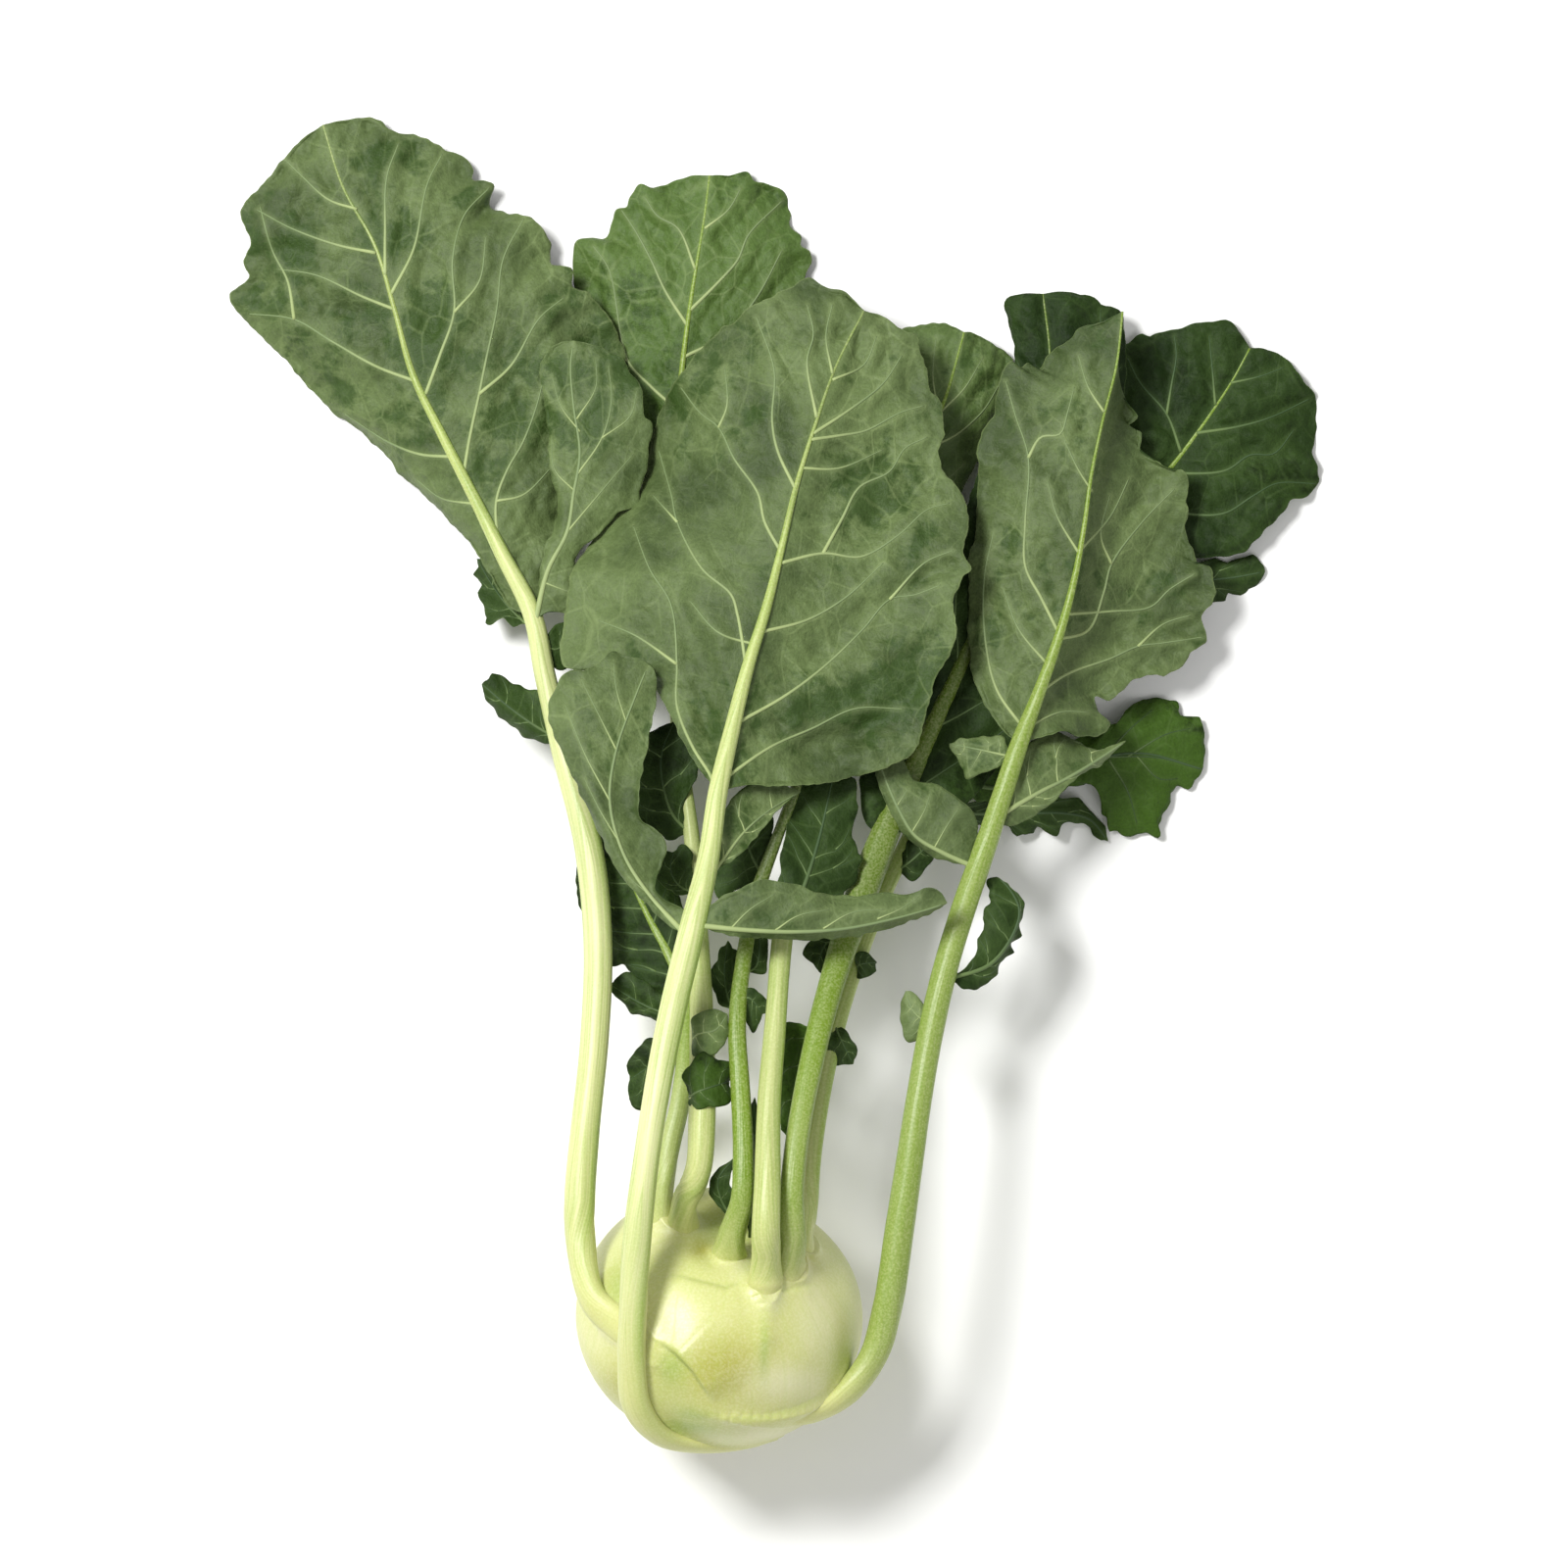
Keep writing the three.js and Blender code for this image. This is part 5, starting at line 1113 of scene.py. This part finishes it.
def make_leaflet(name, shape, replaced):
    """A leaflet, with its rib and veins. The dark ones among the stalks are ragged."""
    length = curve(shape["rib"], 20)[1]
    ragged = shape["face"] < 0
    along = int(np.clip(length * 1.8, 40, 130))
    long, middling = length > LONG_LEAFLET, length > MIDDLING_LEAFLET
    blade = Blade(shape, along, max(along // 4, 12), lambda s: 0 * s,
                  *TEETH["ragged" if ragged else "smooth"], min(1.4, length / 40),
                  seed=sum(map(ord, name)))
    blade.settle(shape.get("veins") or blade.regular_veins(4 if long else 3), shape.get("folds", []),
                 0.8 if middling else 0.4)
    finish_blade(blade, name, shape, replaced, LEAFLET_THICKNESS, 0.8 if middling else 0.5)
    blade.lines = [np.array([(x, y, 0) for x, y, _ in curve(shape["rib"], 40)[0]])]
    rib = blade.vein_tubes(f"{name}_rib", 1.9 if long else 1.2, VEINS[shape["face"]])


def finish_blade(blade, name, shape, replaced, thickness, vein_width):
    """Makes the pieces of a settled blade: its sheet and its side veins."""
    piece = blade.mesh(f"{name}_blade", thickness, shape.get("fresh", 0.0))
    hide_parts(replaced)
    veins = blade.vein_tubes(f"{name}_veins", vein_width, VEINS[shape["face"]])


def outline_radius(angle):
    """The bulb's radius in a direction at this angle from the stem axis."""
    points, _ = curve([(r * BULB_RADIUS, h * BULB_POLAR, 0) for r, h in BULB_OUTLINE], 300)
    angles = np.arctan2(points[:, 0], points[:, 1])
    order = np.argsort(angles)
    return np.interp(angle, angles[order], np.hypot(points[:, 0], points[:, 1])[order])


# Edges of the leaf bases that clasp the bulb, x and y along each. The skin stands higher on the
# side to the left of the way the line runs, by rise, and falls away from the edge over reach.
CLASPING_EDGES = [
    dict(line=[(-1, -24), (-4, -19), (-8, -13), (-13, -8), (-24, 0)], rise=-2.2, reach=9, scar=0.25),
    dict(line=[(8.5, 18), (6, 13.7), (2.5, 12.6), (-4, 14.2), (-12, 16), (-22, 15.6)], rise=0.8, reach=8,
         scar=0.2),
    dict(line=[(34, 13.4), (27, 12.6), (20, 11.2), (19, 17)], rise=0.7, reach=7, scar=0.2),
    dict(line=[(-6, -26.5), (5, -27.5), (16, -27), (25, -25), (33, -21.5), (40, -17)], rise=-1.0, reach=6,
         scar=0.25),
]
# Clouds of colour on the skin that faces up: x, y, radius across, radius along, strength.
YELLOW_CLOUDS = [(2, -12, 15, 11, 0.85), (-5, 23.5, 3.4, 2.6, 0.9), (-30, -18, 7, 6, 0.5),
                 (26, 20, 7, 4, 0.4), (10, -32, 10, 4, 0.35)]
# partly a painted highlight, to the lower right of the bulb's middle and on its right side
PALE_AND_HIGHLIGHT_CLOUDS = [(17, 8.5, 4, 4, 0.5), (22, -17, 12, 6, 0.85), (32, 2, 8, 14, 0.6), (16, -34, 14, 4, 0.7),
               (-33, 0, 5, 4, 0.6), (-14, 6, 7, 8, 0.3), (6, 18, 4, 4, 0.45), (-20, 27, 9, 5, 0.3)]
# partly painted shade: in the crease above the front stalk's foot, beside the stalks and round the crown
GREEN_AND_SHADE_CLOUDS = [(-10, -32, 10, 3, 0.7), (14.2, -6, 1.6, 9, 0.55), (-14, -12, 5, 6, 0.6),
                (-8, -28, 6, 3, 0.55), (41, -12, 4, 7, 0.45), (-30, 12, 5, 8, 0.5), (4, 30, 9, 5, 0.6),
                (14, 20, 5, 9, 0.35)]


def cloud(points, clouds):
    total = np.zeros(len(points))
    for x, y, wide, long, strength in clouds:
        square = ((points[:, 0] - x) / wide) ** 2 + ((points[:, 1] - y) / long) ** 2
        total = np.maximum(total, strength * np.exp(-square))
    return total


def make_bulb(paths):
    ball = bmesh.new()
    bmesh.ops.create_icosphere(ball, subdivisions=8, radius=1)
    ball.verts.ensure_lookup_table()
    directions = np.array([v.co for v in ball.verts])
    faces = [tuple(v.index for v in f.verts) for f in ball.faces]
    ball.free()
    cosine = directions @ STEM_AXIS
    angle = np.arccos(np.clip(cosine, -1, 1))
    radius = outline_radius(angle)
    points = BULB_CENTRE + directions * radius[:, None]
    plan = points[:, :2]
    facing = np.clip(directions[:, 2] * 3, 0, 1)
    lift = 0.5 * rolling(points[:, 0] + points[:, 2], points[:, 1] - points[:, 2], 55, 4)
    scar = np.zeros(len(points))
    for edge in CLASPING_EDGES:
        signed, along = near_line(plan, edge["line"])
        ends = np.clip(np.sin(math.pi * np.clip(along, 0, 1)) * 1.25, 0, 1) ** 1.5
        step = 0.5 + 0.5 * np.tanh(signed / 0.7)
        bank = step * np.exp(-np.maximum(signed, 0) / edge["reach"])
        if edge["rise"] < 0:
            bank = (1 - step) * np.exp(-np.maximum(-signed, 0) / edge["reach"])
        lift += abs(edge["rise"]) * bank * ends * facing
        lift -= 0.3 * np.exp(-((signed / 1.0) ** 2)) * ends * facing
        scar = np.maximum(scar, edge["scar"] * np.exp(-((signed / 0.75) ** 2)) * ends * facing)
    for name, path in paths.items():
        tall, reach = (2.6, 2.4) if name in CROWN_LEAVES else (1.1, 1.4)
        near = path[np.linalg.norm(path[:, :3] - BULB_CENTRE, axis=1) < ON_BULB]
        gap = np.full(len(points), 1e9)
        for point in near[::2]:
            gap = np.minimum(gap, np.linalg.norm(points - point[:3], axis=1) - point[3] / 2)
        lift += tall * np.exp(-np.maximum(gap, 0) / reach)
    points = BULB_CENTRE + directions * (radius + lift)[:, None]
    points[:, 2] = np.maximum(points[:, 2], 0.0)
    turn_from = np.cross(STEM_AXIS, [1, 0, 0])
    turn_from /= np.linalg.norm(turn_from)
    other = np.cross(STEM_AXIS, turn_from)
    longitude = np.arctan2(directions @ other, directions @ turn_from)
    uv = np.column_stack([angle * 40, (longitude + math.pi) * 40])
    # pale is partly a painted highlight, and green partly painted shade
    fields = {"yellow": cloud(plan, YELLOW_CLOUDS) * facing, "pale": cloud(plan, PALE_AND_HIGHLIGHT_CLOUDS) * facing,
              "green": cloud(plan, GREEN_AND_SHADE_CLOUDS) * facing, "scar": scar}
    piece = mesh_object("bulb_skin", points, faces, [BULB], fields=fields, uv=uv)
    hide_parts("bulb")


def make_root():
    """The stub of the root: a short woody cylinder, furrowed, with its cut end roughened."""
    base = BULB_CENTRE - STEM_AXIS * (BULB_POLAR - 3)
    path = np.array([base - STEM_AXIS * d for d in np.linspace(0, 8.4, 12)])
    radius = np.interp(np.linspace(0, 1, 12), [0, 0.3, 0.9, 1], [9.4, 8.4, 7.6, 6.9])

    def section(k, angles):
        furrow = 1 + 0.05 * np.cos(7 * angles + k * 0.2) + 0.03 * np.cos(17 * angles)
        return radius[k] * furrow, radius[k] * furrow

    rings, _ = swept(path, lambda p: np.array([1.0, 0, 0]), section, ROOT_SIDES)
    vertices, faces = tube_mesh(rings)
    piece = mesh_object("root_stub", vertices, faces, [ROOT])
    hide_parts("cut_root")


paths = {}
for name, leaf in LEAVES.items():
    paths[name] = make_stalk(name, leaf)
    make_blade(name, leaf, f"blade_{name}")
for name, shape in LEAFLETS.items():
    make_leaflet(f"{name}_leaflet", shape, f"leaflet_{name}")
for name, shape in HEART_LEAVES.items():
    make_leaflet(name.replace("heart_leaf", "small_heart"), shape, name)
make_bulb(paths)
make_root()

# ---------------------------------------------------------------- table, light and camera

FRAME_WIDTH = 495 * MM  # what the view spans at MIDDLE_HEIGHT
MIDDLE_HEIGHT = 42 * MM  # about half way up the plant
CAMERA_HEIGHT = 4.5
TABLE_HALF = 3.0  # half of the table's side
AIM = (np.array([20.7, 170.3, 0]) - RESTING_SPOT) * MM


def make_table():
    material, tree = material_tree("pale_table")
    mottle = add(tree, "TexNoise", Vector=spot(tree, 90), Scale=1.0, Detail=3.0)
    base = add(tree, "ValToRGB", stops=((0.3, "#F6F6F4"), (0.7, "#FAFAF8")), Fac=mottle)
    finish(tree, Base_Color=base, Roughness=0.85)
    mesh = bpy.data.meshes.new("table")
    corners = [(TABLE_HALF * x, TABLE_HALF * y, 0) for x, y in ((-1, -1), (1, -1), (1, 1), (-1, 1))]
    mesh.from_pydata(corners, [], [(0, 1, 2, 3)])
    mesh.materials.append(material)
    table = bpy.data.objects.new("table", mesh)
    bpy.context.scene.collection.objects.link(table)


def area_light(name, where, size, watts, colour="#FFFFFF"):
    lamp = bpy.data.lights.new(name, "AREA")
    lamp.shape = "SQUARE"
    lamp.size = size
    lamp.energy = watts
    lamp.color = linear(colour)[:3]
    light = bpy.data.objects.new(name, lamp)
    light.location = where
    light.rotation_euler = (Vector(AIM) - Vector(where)).to_track_quat("-Z", "Y").to_euler()
    bpy.context.scene.collection.objects.link(light)


def make_world():
    world = bpy.data.worlds.new("studio")
    world.use_nodes = True
    world.node_tree.nodes["Background"].inputs["Color"].default_value = linear("#FFFFFF")
    world.node_tree.nodes["Background"].inputs["Strength"].default_value = 0.46
    bpy.context.scene.world = world


def make_camera():
    data = bpy.data.cameras.new("camera")
    data.sensor_width = 36
    data.lens = 36 * (CAMERA_HEIGHT - MIDDLE_HEIGHT) / FRAME_WIDTH
    camera = bpy.data.objects.new("camera", data)
    camera.location = (AIM[0], AIM[1], CAMERA_HEIGHT)
    bpy.context.scene.collection.objects.link(camera)
    bpy.context.scene.camera = camera


make_table()
make_world()
area_light("key", (-0.8, 0.8, 1.65), 0.5, 42)
area_light("fill", (1.0, -0.8, 1.8), 1.2, 8)
bpy.context.scene.view_settings.view_transform = "Standard"
make_camera()
